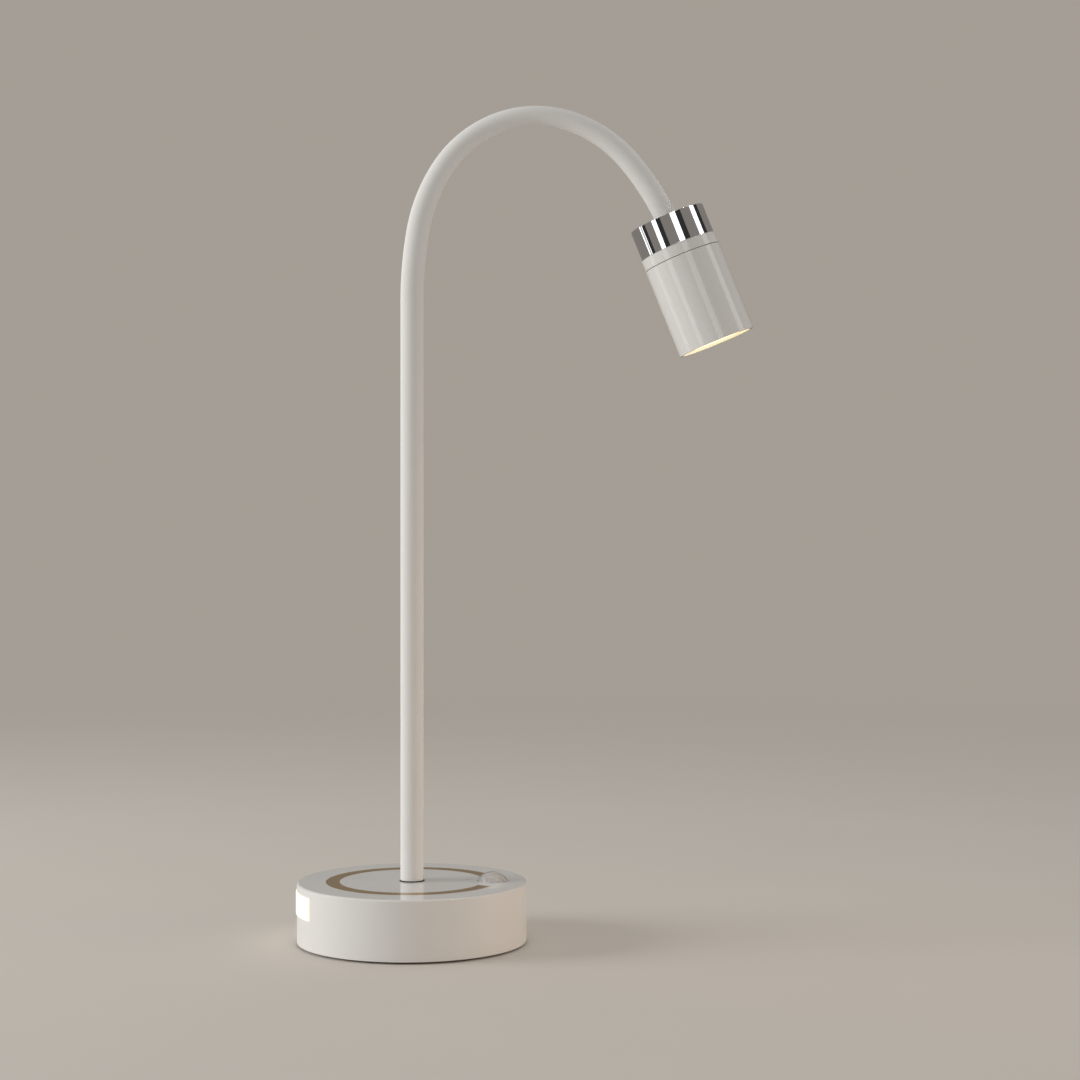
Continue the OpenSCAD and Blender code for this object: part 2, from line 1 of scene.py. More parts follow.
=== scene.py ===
# %% [markdown]
# # A gooseneck desk lamp, dressed
# The lamp is a weighted round base, a bendable neck and a spot head. This lesson gives that
# model its looks: the finishes, the rounded edges and the fine parts.

# %% Load the frame
import json
import math
import bmesh
import bpy
from mathutils import Matrix, Vector


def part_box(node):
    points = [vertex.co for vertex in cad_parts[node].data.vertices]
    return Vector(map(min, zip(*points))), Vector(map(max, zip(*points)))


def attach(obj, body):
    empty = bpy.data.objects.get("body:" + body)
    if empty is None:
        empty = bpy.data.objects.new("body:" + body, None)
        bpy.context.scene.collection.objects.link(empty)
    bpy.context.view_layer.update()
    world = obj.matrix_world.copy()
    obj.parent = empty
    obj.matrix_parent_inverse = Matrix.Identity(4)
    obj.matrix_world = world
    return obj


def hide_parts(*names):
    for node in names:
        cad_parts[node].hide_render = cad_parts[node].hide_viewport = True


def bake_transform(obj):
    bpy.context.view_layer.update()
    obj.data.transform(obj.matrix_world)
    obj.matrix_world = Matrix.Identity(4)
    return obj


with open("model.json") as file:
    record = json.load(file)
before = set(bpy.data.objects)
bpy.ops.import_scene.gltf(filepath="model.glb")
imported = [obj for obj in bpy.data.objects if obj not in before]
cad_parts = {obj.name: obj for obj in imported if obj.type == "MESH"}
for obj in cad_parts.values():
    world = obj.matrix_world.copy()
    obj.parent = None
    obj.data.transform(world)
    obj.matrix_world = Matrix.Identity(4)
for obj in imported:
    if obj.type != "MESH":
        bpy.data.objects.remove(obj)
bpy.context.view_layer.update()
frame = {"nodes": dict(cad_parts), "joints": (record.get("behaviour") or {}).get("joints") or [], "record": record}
nodes = frame["nodes"]
slot_of = {part["node"]: part["material_slot"] for part in frame["record"]["subparts"]}
body_of = {node: body for body, names in frame["record"]["behaviour"]["bodies"].items() for node in names}
scene = bpy.context.scene
MM = 0.001

# %% [markdown]
# ## Camera
# The whole lamp stands in the picture, seen level from a little under a metre away and
# at about half the lamp's height. A long lens keeps the upright stem and the round base free
# of strong perspective. The camera is made first because later steps judge their work from it.

# %% Camera
camera_data = bpy.data.cameras.new("camera")
camera_data.sensor_width = 36
camera_data.lens = 69.5
camera = bpy.data.objects.new("camera", camera_data)
camera.location = (0.0559, -0.911, 0.1755)
camera.rotation_euler = (math.radians(90), 0, 0)
scene.collection.objects.link(camera)
scene.camera = camera
scene.view_settings.view_transform = "Standard"
print("camera at", tuple(camera.location))

# %% [markdown]
# ## Small helpers for node trees
# Materials and geometry trees are both made of nodes joined by links. One helper makes a node,
# sets its options and either links a socket or gives it a value, so that a tree reads as a
# short list of steps.

# %% Node helpers
def put(tree, socket, value):
    if isinstance(value, bpy.types.NodeSocket):
        tree.links.new(value, socket)
    else:
        socket.default_value = value


def add(tree, kind, inputs=None, **settings):
    node = tree.nodes.new(kind)
    for name, value in settings.items():
        setattr(node, name, value)
    for key, value in (inputs or {}).items():
        put(tree, node.inputs[key], value)
    return node


def calc(tree, operation, *values):
    node = add(tree, "ShaderNodeMath", operation=operation)
    for socket, value in zip(node.inputs, values):
        put(tree, socket, value)
    return node.outputs[0]


def vector_calc(tree, operation, *values):
    node = add(tree, "ShaderNodeVectorMath", operation=operation)
    for socket, value in zip(node.inputs, values):
        put(tree, socket, value)
    return node.outputs["Value" if operation in ("LENGTH", "DOT_PRODUCT") else "Vector"]


def scaled(tree, vector, factor):
    node = add(tree, "ShaderNodeVectorMath", {"Vector": vector, "Scale": factor}, operation="SCALE")
    return node.outputs["Vector"]


def map_range(tree, value, low, high, start=0.0, end=1.0):
    node = add(tree, "ShaderNodeMapRange", {"Value": value, "From Min": start, "From Max": end,
                                            "To Min": low, "To Max": high})
    return node.outputs["Result"]


def mixed(tree, factor, first, second):
    node = add(tree, "ShaderNodeMix", data_type="RGBA")
    put(tree, node.inputs[0], factor)
    put(tree, node.inputs[6], first)
    put(tree, node.inputs[7], second)
    return node.outputs[2]


print("node helpers ready")

# %% [markdown]
# ## Finishes
# Every finish is a Principled shader whose colour and roughness drift a little with a soft
# noise, because no moulded or plated surface is perfectly even, and whose surface is lifted by
# a fine grain. The noises read Object coordinates, so they sit still on the piece when the
# camera moves. The level of each finish is set on the shader's own socket.

# %% A general finish
finishes = {}


def shade(colour, factor):
    return (colour[0] * factor, colour[1] * factor, colour[2] * factor, 1.0)


def finish(slot, colour, rough, drift=0.04, grain=500.0, lift=0.004, metallic=0.0, rough_drift=0.15,
           drift_scale=60.0, sockets=None):
    material = bpy.data.materials.new(slot)
    material.use_nodes = True
    tree = material.node_tree
    shader = tree.nodes["Principled BSDF"]
    place = add(tree, "ShaderNodeTexCoord").outputs["Object"]
    soft = add(tree, "ShaderNodeTexNoise",
               {"Vector": place, "Scale": drift_scale, "Detail": 3.0}).outputs["Fac"]
    fine = add(tree, "ShaderNodeTexNoise", {"Vector": place, "Scale": grain, "Detail": 2.0}).outputs["Fac"]
    tone = mixed(tree, soft, shade(colour, 1 - drift), shade(colour, 1 + drift))
    put(tree, shader.inputs["Base Color"], tone)
    put(tree, shader.inputs["Roughness"],
        map_range(tree, soft, rough * (1 - rough_drift), rough * (1 + rough_drift)))
    bump = add(tree, "ShaderNodeBump", {"Height": fine, "Distance": lift * MM, "Strength": 1.0})
    put(tree, shader.inputs["Normal"], bump.outputs["Normal"])
    shader.inputs["Metallic"].default_value = metallic
    for key, value in (sockets or {}).items():
        shader.inputs[key].default_value = value
    finishes[slot] = material
    return tree, shader, place, bump


WHITE = (0.80, 0.79, 0.775)
finish("white_gloss", WHITE, 0.07, drift=0.01, grain=420, lift=0.0008)
finish("silicone", WHITE, 0.7, drift=0.015, grain=900, lift=0.002,
       sockets={"Specular IOR Level": 0.1})
finish("chrome", (0.86, 0.87, 0.89), 0.035, drift=0.01, grain=120, lift=0.0002, metallic=1.0)
finish("clear_lens", (0.97, 0.96, 0.95), 0.025, drift=0.005, grain=200, lift=0.0004,
       sockets={"Transmission Weight": 0.66, "IOR": 1.49, "Coat Weight": 1.0, "Coat Roughness": 0.03})
finish("foot_rubber", (0.018, 0.018, 0.018), 0.75, drift=0.25, grain=2500, lift=0.03)
finish("grey_plastic", (0.30, 0.30, 0.295), 0.5, grain=2200, lift=0.02)
finish("steel", (0.60, 0.61, 0.63), 0.3, grain=1500, lift=0.004, metallic=1.0)
finish("conduit_steel", (0.50, 0.50, 0.51), 0.34, drift=0.1, grain=2000, lift=0.004, metallic=1.0)
finish("cast_weight", (0.26, 0.265, 0.27), 0.5, drift=0.15, grain=900, lift=0.05, metallic=1.0)
finish("sink_aluminium", (0.72, 0.73, 0.74), 0.35, grain=3000, lift=0.004, metallic=1.0)
finish("reflector_mirror", (0.88, 0.88, 0.89), 0.07, drift=0.02, grain=300, lift=0.001, metallic=1.0)
finish("board_chips", (0.016, 0.016, 0.017), 0.55, drift=0.2, grain=3000, lift=0.01)
finish("cell_foil", (0.62, 0.63, 0.65), 0.28, drift=0.05, grain=260, lift=0.06, metallic=0.9)
finish("red_wire", (0.42, 0.02, 0.015), 0.35, grain=1500, lift=0.01)
finish("lead_jacket", (0.02, 0.02, 0.021), 0.45, drift=0.15, grain=1800, lift=0.01)
finish("led_yellow", (0.85, 0.52, 0.06), 0.3, drift=0.1, grain=2500, lift=0.004,
       sockets={"Emission Color": (1.0, 0.78, 0.35, 1.0), "Emission Strength": 1.5})
finish("switch_knob", (0.012, 0.012, 0.013), 0.42, drift=0.2, grain=2600, lift=0.015)
finish("white_board", (0.74, 0.74, 0.72), 0.3, drift=0.03, grain=900, lift=0.01)
print("finishes:", len(finishes))

# %% [markdown]
# ## White of the base
# The base is the same white plastic as the head, polished like glass on its top face and
# satin on its side. The height of a point above the table tells the two apart, so one finish
# covers the whole shell.

# %% Base finish
tree, shader, place, bump = finish("white_base", WHITE, 0.07, drift=0.01, grain=420, lift=0.0006)
height = add(tree, "ShaderNodeSeparateXYZ", {"Vector": place}).outputs["Z"]
top_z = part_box("base_shell")[1].z
put(tree, shader.inputs["Roughness"], map_range(tree, height, 0.34, 0.05, top_z - 0.5 * MM, top_z - 0.1 * MM))
print("base: polished above", round((top_z - 0.1 * MM) / MM, 1), "mm")

# %% [markdown]
# ## Bronze of the accent ring
# The ring is turned on a lathe, so very fine circles run round the base's middle, and then it
# is lacquered. A wave texture in rings about Z gives the circles; a clear coat on top gives the
# sharp reflection that the lacquer keeps.

# %% Bronze finish
# A wave texture of scale 1 repeats every 0.3142 m
WAVE_PERIOD = 0.3142
TURNED_SCALE = 1100.0
tree, shader, place, bump = finish("bronze", (0.40, 0.27, 0.11), 0.3, drift=0.08, grain=1200, lift=0.001,
                                   metallic=0.5, sockets={"Coat Weight": 0.3, "Coat Roughness": 0.03})
turned = add(tree, "ShaderNodeTexWave", {"Vector": place, "Scale": TURNED_SCALE, "Distortion": 0.4,
                                         "Detail": 1.0},
             wave_type="RINGS", rings_direction="Z")
put(tree, bump.inputs["Height"], turned.outputs["Fac"])
print("bronze: turned lines every", round(WAVE_PERIOD / TURNED_SCALE / MM, 2), "mm")

# %% [markdown]
# ## Lit diffusers
# Two milky plastic pieces glow: the night light's window and the disc in the head's mouth. Each
# is a white plastic with emission, brighter where an LED stands behind it.

# %% Diffuser finishes
LED_PITCH = 9 * MM
tree, shader, place, bump = finish("window_diffuser", (0.82, 0.78, 0.70), 0.3, drift=0.01,
                                   sockets={"Emission Strength": 0.75})
spots = add(tree, "ShaderNodeTexWave", {"Vector": place, "Scale": WAVE_PERIOD / LED_PITCH,
                                        "Phase Offset": 0.0},
            wave_type="BANDS", bands_direction="Y")
warm = mixed(tree, spots.outputs["Fac"], (0.95, 0.80, 0.58, 1.0), (1.0, 0.88, 0.68, 1.0))
put(tree, shader.inputs["Emission Color"], warm)
tree, shader, place, bump = finish("head_diffuser", (0.85, 0.78, 0.62), 0.4, drift=0.01,
                                   sockets={"Emission Strength": 1.6})
cloud = add(tree, "ShaderNodeTexNoise", {"Vector": place, "Scale": 60.0}).outputs["Fac"]
put(tree, shader.inputs["Emission Color"], mixed(tree, cloud, (1.0, 0.80, 0.42, 1.0), (1.0, 0.84, 0.48, 1.0)))
print("diffusers ready")

# %% [markdown]
# ## Circuit board
# Under its green lacquer the board shows copper traces and small tinned holes. The traces are
# thin bands at a fixed pitch. They run along X in some patches and along Y in others, and a cell
# pattern chooses. The holes are the middles of much smaller cells.

# %% Circuit board finish
TRACE_PITCH = 0.9 * MM
PATCH_SCALE = 110.0
HOLE_SCALE = 260.0
HOLE_REACH = 0.075
tree, shader, place, bump = finish("circuit_board", (0.012, 0.10, 0.045), 0.28, drift=0.12, grain=700,
                                   lift=0.01,
                                   sockets={"Coat Weight": 0.4, "Coat Roughness": 0.12})
patch = add(tree, "ShaderNodeTexVoronoi", {"Vector": place, "Scale": PATCH_SCALE},
            distance="CHEBYCHEV").outputs["Color"]
patch = calc(tree, "GREATER_THAN", add(tree, "ShaderNodeSeparateXYZ", {"Vector": patch}).outputs["X"], 0.5)
bands = [add(tree, "ShaderNodeTexWave", {"Vector": place, "Scale": WAVE_PERIOD / TRACE_PITCH},
             wave_type="BANDS",
             bands_direction=way).outputs["Fac"] for way in "XY"]
trace = calc(tree, "GREATER_THAN", calc(tree, "MULTIPLY_ADD", patch,
                                        calc(tree, "SUBTRACT", bands[1], bands[0]),
                                        bands[0]), 0.9)
hole = add(tree, "ShaderNodeTexVoronoi", {"Vector": place, "Scale": HOLE_SCALE}).outputs["Distance"]
hole = calc(tree, "LESS_THAN", hole, HOLE_REACH)
green = shader.inputs["Base Color"].links[0].from_socket
green = mixed(tree, trace, green, (0.03, 0.19, 0.085, 1.0))
put(tree, shader.inputs["Base Color"], mixed(tree, hole, green, (0.55, 0.54, 0.50, 1.0)))
print("circuit board: traces every", TRACE_PITCH / MM, "mm")

# %% [markdown]
# ## Finishes on the engineering parts
# A part whose shape is right already keeps its mesh and only gets its finish. The record names
# a material slot for each part, so one loop dresses them all.

# %% Dress the engineering parts
for name, part in nodes.items():
    for entry in part.material_slots:
        entry.material = finishes[slot_of[name]]
print("dressed parts:", len(nodes))

# %% [markdown]
# ## Measures taken from the frame
# The scene copies no numbers where it can measure: a node's box gives its middle, and its
# vertices measured along an axis give its ends and its radius. The head leans, so its axis is
# the line from the middle of the shell to the middle of the diffuser in its mouth.

# %% Measures
def middle(node):
    low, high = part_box(node)
    return (low + high) / 2


def measure(node, origin, axis):
    offsets = [vertex.co - origin for vertex in nodes[node].data.vertices]
    heights = [offset.dot(axis) for offset in offsets]
    radius = max((offset - axis * height).length for offset, height in zip(offsets, heights))
    return min(heights), max(heights), radius


UP = Vector((0, 0, 1))
SIDE = Vector((0, 1, 0))
head_axis = (middle("front_diffuser") - middle("head_shell")).normalized()
low, high, collar_r = measure("chrome_collar", middle("chrome_collar"), head_axis)
head_top = middle("chrome_collar") + head_axis * low
print("head axis", [round(v, 3) for v in head_axis], "collar radius", round(collar_r / MM, 2), "mm")

# %% [markdown]
# ## Pieces from the engineering meshes, with finished edges
# A moulded or turned part never has razor-sharp edges: a small radius catches a line of light.
# A copy of the part's mesh is welded, its flat faces are joined, and a Bevel rounds its edges.
# A Weighted Normal keeps the flat faces flat under smooth shading.

# %% Piece helpers
def new_piece(name, mesh, slot, replaced, body=None, look=None):
    piece = bpy.data.objects.new(name, mesh)
    scene.collection.objects.link(piece)
    mesh.materials.clear()
    mesh.materials.append(finishes[look or slot])
    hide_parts(*replaced)
    if body:
        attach(piece, body)
    return piece


def welded(node):
    shape = bmesh.new()
    shape.from_mesh(nodes[node].data)
    bmesh.ops.remove_doubles(shape, verts=shape.verts, dist=0.002 * MM)
    bmesh.ops.dissolve_limit(shape, angle_limit=math.radians(0.5), verts=shape.verts, edges=shape.edges)
    return shape


def as_mesh(name, shape):
    mesh = bpy.data.meshes.new(name)
    shape.to_mesh(mesh)
    shape.free()
    for key in ("custom_normal", "sharp_face"):
        if key in mesh.attributes:
            mesh.attributes.remove(mesh.attributes[key])
    mesh.shade_smooth()
    return mesh


def settled(holder):
    name = holder.name
    before = holder.data
    graph = bpy.context.evaluated_depsgraph_get()
    mesh = bpy.data.meshes.new_from_object(holder.evaluated_get(graph), depsgraph=graph)
    bpy.data.objects.remove(holder)
    bpy.data.meshes.remove(before)
    mesh.name = name
    return mesh


def soften(mesh, width, segments=2, angle=30):
    holder = bpy.data.objects.new(mesh.name, mesh)
    scene.collection.objects.link(holder)
    bevel = holder.modifiers.new("edges", "BEVEL")
    bevel.width = width * MM
    bevel.segments = segments
    bevel.limit_method = "ANGLE"
    bevel.angle_limit = math.radians(angle)
    weighted = holder.modifiers.new("normals", "WEIGHTED_NORMAL")
    weighted.weight = 100
    weighted.keep_sharp = True
    return settled(holder)


def finish_edges(node, width, look=None):
    name = node + "_finished"
    mesh = soften(as_mesh(name, welded(node)), width)
    new_piece(name, mesh, slot_of[node], [node], body_of[node], look)
    print(name, len(mesh.vertices), "vertices")


finish_edges("base_shell", 0.12, "white_base")
finish_edges("accent_ring", 0.06)
finish_edges("base_cover", 0.2)
finish_edges("night_light_window", 0.2)
finish_edges("head_cap", 0.12)
finish_edges("front_diffuser", 0.15)

# %% [markdown]
# ## Turned pieces
# The collar, the head's shell and the sensor's lens are round about one axis, as if turned on a
# lathe. Their section is a short closed list of points, a radius and a height each. A geometry
# tree could spin it, but a plain loop that joins ring after ring keeps the seam closed and
# gives even quads, which mirror-bright metal needs.

# %% Turning helper
def turned(name, section, origin=Vector(), axis=UP, segments=192):
    across = axis.cross(SIDE).normalized() if abs(axis.dot(SIDE)) < 0.9 else axis.cross(UP).normalized()
    round_about = axis.cross(across)
    shape = bmesh.new()
    rings = []
    for i in range(segments):
        angle = 2 * math.pi * i / segments
        out = across * math.cos(angle) + round_about * math.sin(angle)
        rings.append([shape.verts.new(origin + out * radius + axis * height) for radius, height in section])
    for i, ring in enumerate(rings):
        beside = rings[(i + 1) % segments]
        for j in range(len(section)):
            k = (j + 1) % len(section)
            if max(section[j][0], section[k][0]) > 1e-9:
                shape.faces.new((ring[j], beside[j], beside[k], ring[k]))
    bmesh.ops.remove_doubles(shape, verts=shape.verts, dist=0.001 * MM)
    bmesh.ops.recalc_face_normals(shape, faces=shape.faces)
    return as_mesh(name, shape)


print("turning helper ready")

# %% [markdown]
# The collar is a thin plated cup with a hole in its top plate for the neck. The shell is a
# plain tube with a small radius at each rim.

# %% Collar and head shell
COLLAR_WALL = 1.4 * MM
COLLAR_TOP = 1.6 * MM
HOLE_GAP = 0.4 * MM
hole_r = measure("neck_sleeve_1", Vector(), UP)[2] + HOLE_GAP
collar_h = measure("chrome_collar", head_top, head_axis)[1]
section = [(hole_r, 0), (collar_r, 0), (collar_r, collar_h), (collar_r - COLLAR_WALL, collar_h),
           (collar_r - COLLAR_WALL, COLLAR_TOP), (hole_r, COLLAR_TOP)]
mesh = soften(turned("collar_turned", section, head_top, head_axis), 0.22, segments=3)
new_piece(mesh.name, mesh, "chrome", ["chrome_collar"], "head")
SHELL_WALL = 1.6 * MM
shell_start, shell_end, shell_r = measure("head_shell", head_top, head_axis)
section = [(shell_r, shell_start), (shell_r, shell_end), (shell_r - SHELL_WALL, shell_end),
           (shell_r - SHELL_WALL, shell_start)]
mesh = soften(turned("shell_turned", section, head_top, head_axis), 0.2, segments=3)
new_piece(mesh.name, mesh, "white_gloss", ["head_shell"], "head")
print("shell from", round(shell_start / MM, 2), "to", round(shell_end / MM, 2), "mm, radius",
      round(shell_r / MM, 2))

# %% [markdown]
# ## Sensor lens
# The motion sensor looks through a clear moulded dome. Its outside is polished and its inside
# carries faint facets that split the view into beams. The profile is an arc outside and a
# coarser arc inside; the wall between them bends the light, which gives the dark rim.

# %% Lens
lens_low, lens_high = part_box("pir_lens")
lens_middle = Vector(((lens_low.x + lens_high.x) / 2, 0, 0))
flange_r = (lens_high.x - lens_low.x) / 2
LENS_FLANGE_W = 1.6 * MM
LENS_FLANGE_T = 1.2 * MM
LENS_WALL = 1.4 * MM
dome_r = flange_r - LENS_FLANGE_W
dome_h = lens_high.z - top_z
ball_r = (dome_r ** 2 + dome_h ** 2) / (2 * dome_h)
ball_z = lens_high.z - ball_r


def arc_section(radius, start_z, steps):
    reach = math.acos(min(1.0, (start_z - ball_z) / radius))
    angles = [reach * (steps - i) / steps for i in range(steps + 1)]
    return [(max(radius * math.sin(a), 0.0), ball_z + radius * math.cos(a)) for a in angles]


inner_r = ball_r - LENS_WALL
inner = arc_section(inner_r, top_z + 0.3 * MM, 7)
section = [(flange_r, lens_low.z), (flange_r, lens_low.z + LENS_FLANGE_T),
           (dome_r, lens_low.z + LENS_FLANGE_T),
           (dome_r, top_z)] + arc_section(ball_r, top_z + 0.05 * MM,
                                          20) + inner[::-1] + [(inner[0][0], lens_low.z)]
mesh = turned("lens_turned", section, lens_middle, UP, 96)
new_piece(mesh.name, mesh, "clear_lens", ["pir_lens"], "base")
print("dome radius", round(dome_r / MM, 2), "height", round(dome_h / MM, 2), "mm")

# %% [markdown]
# ## Dark ring for the shade round the neck
# A dark ring fills the narrow gap where the neck enters the base, as painted shade for that gap.
# It bulges a little above the top face, and shows as a thin dark line round the foot of the stem.

# %% Dark ring, painted shade round the neck
SHADE_RING_RISE = 0.5 * MM
SHADE_RING_DEPTH = 1.4 * MM
stem_r = hole_r - HOLE_GAP
SHADE_RING_GAP = 0.01 * MM
shade_ring_in = stem_r + SHADE_RING_GAP
shade_ring_out = hole_r - SHADE_RING_GAP
bulge = [(shade_ring_in + (shade_ring_out - shade_ring_in) * (0.5 - 0.5 * math.cos(a)),
          top_z + SHADE_RING_RISE * math.sin(a) - 0.02 * MM)
         for a in [math.pi * i / 8 for i in range(9)]]
section = [(shade_ring_in, top_z - SHADE_RING_DEPTH)] + bulge + [(shade_ring_out, top_z - SHADE_RING_DEPTH)]
# The ring is painted shade: a dark part put where the gap round the neck only falls into shade.
mesh = turned("neck_seal", section, Vector(), UP, 128)
new_piece(mesh.name, mesh, "foot_rubber", [], "base")
print("seal stands", SHADE_RING_RISE / MM, "mm above the top face")

# %% [markdown]
# ## The neck's line
# The real neck is one bendable tube. In the frame it is a chain of hinges, one between each
# pair of segments, and each segment is an arc. The direction of the neck turns evenly along an
# arc, so the arc's chord points halfway between its two end directions. That is enough to
# rebuild the exact line from the places of the hinges. The line is kept as a fine chain of
# edges, and everything that runs in the neck is laid along it.

# %% Neck line
def bend_number(joint):
    return int(joint["name"].rsplit("_", 1)[1])


bends = sorted((j for j in frame["joints"] if j["name"].startswith("neck_bend_")), key=bend_number)
neck_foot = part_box("neck_sleeve_1")[0].z
insert_end = measure("neck_sleeve_12", head_top, head_axis)[1]
neck_end = head_top + head_axis * insert_end
stations = [Vector((0, 0, neck_foot))] + [Vector(j["pos_m"]) for j in bends] + [neck_end]
FINE = 0.8 * MM


def direction(angle):
    return Vector((math.sin(angle), 0, math.cos(angle)))


def arc_points(start, end, heading):
    chord = end - start
    turn = 2 * (math.atan2(chord.x, chord.z) - heading)
    length = chord.length if abs(turn) < 1e-4 else chord.length * (turn / 2) / math.sin(turn / 2)
    count = max(2, round(length / FINE))
    points = []
    for i in range(1, count + 1):
        part = turn * i / count
        reach = length * i / count
        if abs(turn) > 1e-4:
            reach *= math.sin(part / 2) / (part / 2)
        points.append(start + direction(heading + part / 2) * reach)
    return points, heading + turn


line = [stations[0]]
marks = [0.0]
heading = 0.0
for start, end in zip(stations, stations[1:]):
    points, heading = arc_points(start, end, heading)
    line += points
    run = sum((b - a).length for a, b in zip([start] + points, points))
    marks.append(marks[-1] + run)
lead_end = measure("led_board", head_top, head_axis)[0]
straight = round((lead_end - insert_end) / FINE)
line += [neck_end + head_axis * (lead_end - insert_end) * (i + 1) / straight for i in range(straight)]


def line_or_points(name, points, edges=()):
    mesh = bpy.data.meshes.new(name)
    mesh.from_pydata([tuple(p) for p in points], list(edges), [])
    holder = bpy.data.objects.new(name, mesh)
    scene.collection.objects.link(holder)
    return holder


def path(name, points):
    return line_or_points(name, points, [(i, i + 1) for i in range(len(points) - 1)])


neck_line = path("neck_line", line)
print("neck line:", len(line), "points,", round(marks[-1] / MM, 1), "mm to the neck's end, heading",
      round(math.degrees(heading), 1))

# %% [markdown]
# ## A tree that lays a shape along the line
# A geometry tree first makes a straight piece that stands on its Z axis, and then moves every
# point to the line: its height becomes a length along the line, and its X and Y become the two
# directions across it. The sleeve is soft and is a little flattened where it lies over the
# arch, so the point's distance across the bend can be squeezed there.

# %% Tree steps shared by the neck's pieces
def new_tree(name, inputs):
    tree = bpy.data.node_groups.new(name, "GeometryNodeTree")
    tree.interface.new_socket("Geometry", in_out="OUTPUT", socket_type="NodeSocketGeometry")
    for key, (kind, value) in inputs.items():
        socket = tree.interface.new_socket(key, in_out="INPUT", socket_type="NodeSocket" + kind)
        if value is not None:
            socket.default_value = value
    return tree, tree.nodes.new("NodeGroupInput").outputs


def end_tree(tree, geometry, material):
    real = add(tree, "GeometryNodeRealizeInstances", {"Geometry": geometry}).outputs["Geometry"]
    painted = add(tree, "GeometryNodeSetMaterial", {"Geometry": real, "Material": material})
    add(tree, "NodeGroupOutput", {"Geometry": painted.outputs["Geometry"]})


def grow(name, tree, values):
    holder = bpy.data.objects.new(name, bpy.data.meshes.new(name))
    scene.collection.objects.link(holder)
    modifier = holder.modifiers.new("tree", "NODES")
    modifier.node_group = tree
    for item in tree.interface.items_tree:
        if item.in_out == "INPUT" and item.name in values:
            modifier[item.identifier] = values[item.name]
    return settled(holder)


def smooth_but_ends(tree, geometry):
    smooth = add(tree, "GeometryNodeSetShadeSmooth", {"Geometry": geometry, "Shade Smooth": True},
                 domain="FACE")
    angle = add(tree, "GeometryNodeInputMeshEdgeAngle").outputs["Unsigned Angle"]
    sharp = calc(tree, "GREATER_THAN", angle, 0.9)
    edged = add(tree, "GeometryNodeSetShadeSmooth", {"Geometry": smooth.outputs["Geometry"],
                                                     "Selection": sharp, "Shade Smooth": False},
                                                     domain="EDGE")
    return edged.outputs["Geometry"]


def lay_on_line(tree, geometry, given, squeeze=None):
    info = add(tree, "GeometryNodeObjectInfo", {"Object": given["Line"]}).outputs["Geometry"]
    curve = add(tree, "GeometryNodeMeshToCurve", {"Mesh": info}).outputs["Curve"]
    position = add(tree, "GeometryNodeInputPosition").outputs["Position"]
    own = add(tree, "ShaderNodeSeparateXYZ", {"Vector": position}).outputs
    sample = add(tree, "GeometryNodeSampleCurve", {"Curves": curve, "Length": own["Z"]},
                 mode="LENGTH").outputs
    across = vector_calc(tree, "CROSS_PRODUCT", given["Side"], sample["Tangent"])
    wide = own["X"]
    if squeeze:
        lean = add(tree, "ShaderNodeSeparateXYZ", {"Vector": sample["Tangent"]}).outputs["X"]
        wide = calc(tree, "MULTIPLY", wide, squeeze(lean, own))
    shift = vector_calc(tree, "ADD", scaled(tree, across, wide), scaled(tree, given["Side"], own["Y"]))
    target = vector_calc(tree, "ADD", sample["Position"], shift)
    return add(tree, "GeometryNodeSetPosition",
               {"Geometry": geometry, "Position": target}).outputs["Geometry"]


print("tree steps ready")

# %% [markdown]
# ## Sleeve and conduit
# Both are walls with an inner and an outer face. The tree rolls a flat grid into that wall:
# across the grid goes round the tube, and along the grid runs up the outside and back down the
# inside. Doubled points are merged, which closes the wall. The conduit is wound from strip, so
# its outside has a helical ridge: the radius rises and falls with the height and the angle.

# %% Wall tree
wall_tree, given = new_tree("neck_wall", {
    "Line": ("Object", None), "Side": ("Vector", (0, 1, 0)), "Material": ("Material", None),
    "Start": ("Float", 0.0), "End": ("Float", 0.04), "Inner Radius": ("Float", 0.003),
    "Outer Radius": ("Float", 0.005), "Rows": ("Int", 40), "Around": ("Int", 64),
    "Flattening": ("Float", 0.0), "Ridge Depth": ("Float", 0.0), "Ridge Pitch": ("Float", 0.002)})
tree = wall_tree
both = calc(tree, "MULTIPLY", given["Rows"], 2.0)
grid = add(tree, "GeometryNodeMeshGrid", {"Size X": 1.0, "Size Y": both,
                                          "Vertices X": calc(tree, "ADD", given["Around"], 1.0),
                                          "Vertices Y": calc(tree, "ADD", both, 1.0)}).outputs["Mesh"]
flat = add(tree, "ShaderNodeSeparateXYZ",
           {"Vector": add(tree, "GeometryNodeInputPosition").outputs["Position"]}).outputs
angle = calc(tree, "MULTIPLY", flat["X"], 2 * math.pi)
row = calc(tree, "FLOORED_MODULO", calc(tree, "ROUND", calc(tree, "ADD", flat["Y"], given["Rows"])), both)
level = calc(tree, "MINIMUM", row, calc(tree, "SUBTRACT", calc(tree, "SUBTRACT", both, 1.0), row))
share = calc(tree, "DIVIDE", level, calc(tree, "SUBTRACT", given["Rows"], 1.0))
span = calc(tree, "SUBTRACT", given["End"], given["Start"])
height = calc(tree, "MULTIPLY_ADD", share, span, given["Start"])
outside = calc(tree, "LESS_THAN", row, given["Rows"])
winding = calc(tree, "ADD", calc(tree, "DIVIDE", height, given["Ridge Pitch"]),
               calc(tree, "DIVIDE", angle, 2 * math.pi))
wave = calc(tree, "ABSOLUTE", calc(tree, "SINE", calc(tree, "MULTIPLY", winding, math.pi)))
dip = calc(tree, "MULTIPLY", calc(tree, "SUBTRACT", 1.0, calc(tree, "POWER", wave, 0.6)),
           given["Ridge Depth"])
outer = calc(tree, "SUBTRACT", given["Outer Radius"], dip)
wall = calc(tree, "SUBTRACT", outer, given["Inner Radius"])
radius = calc(tree, "MULTIPLY_ADD", outside, wall, given["Inner Radius"])
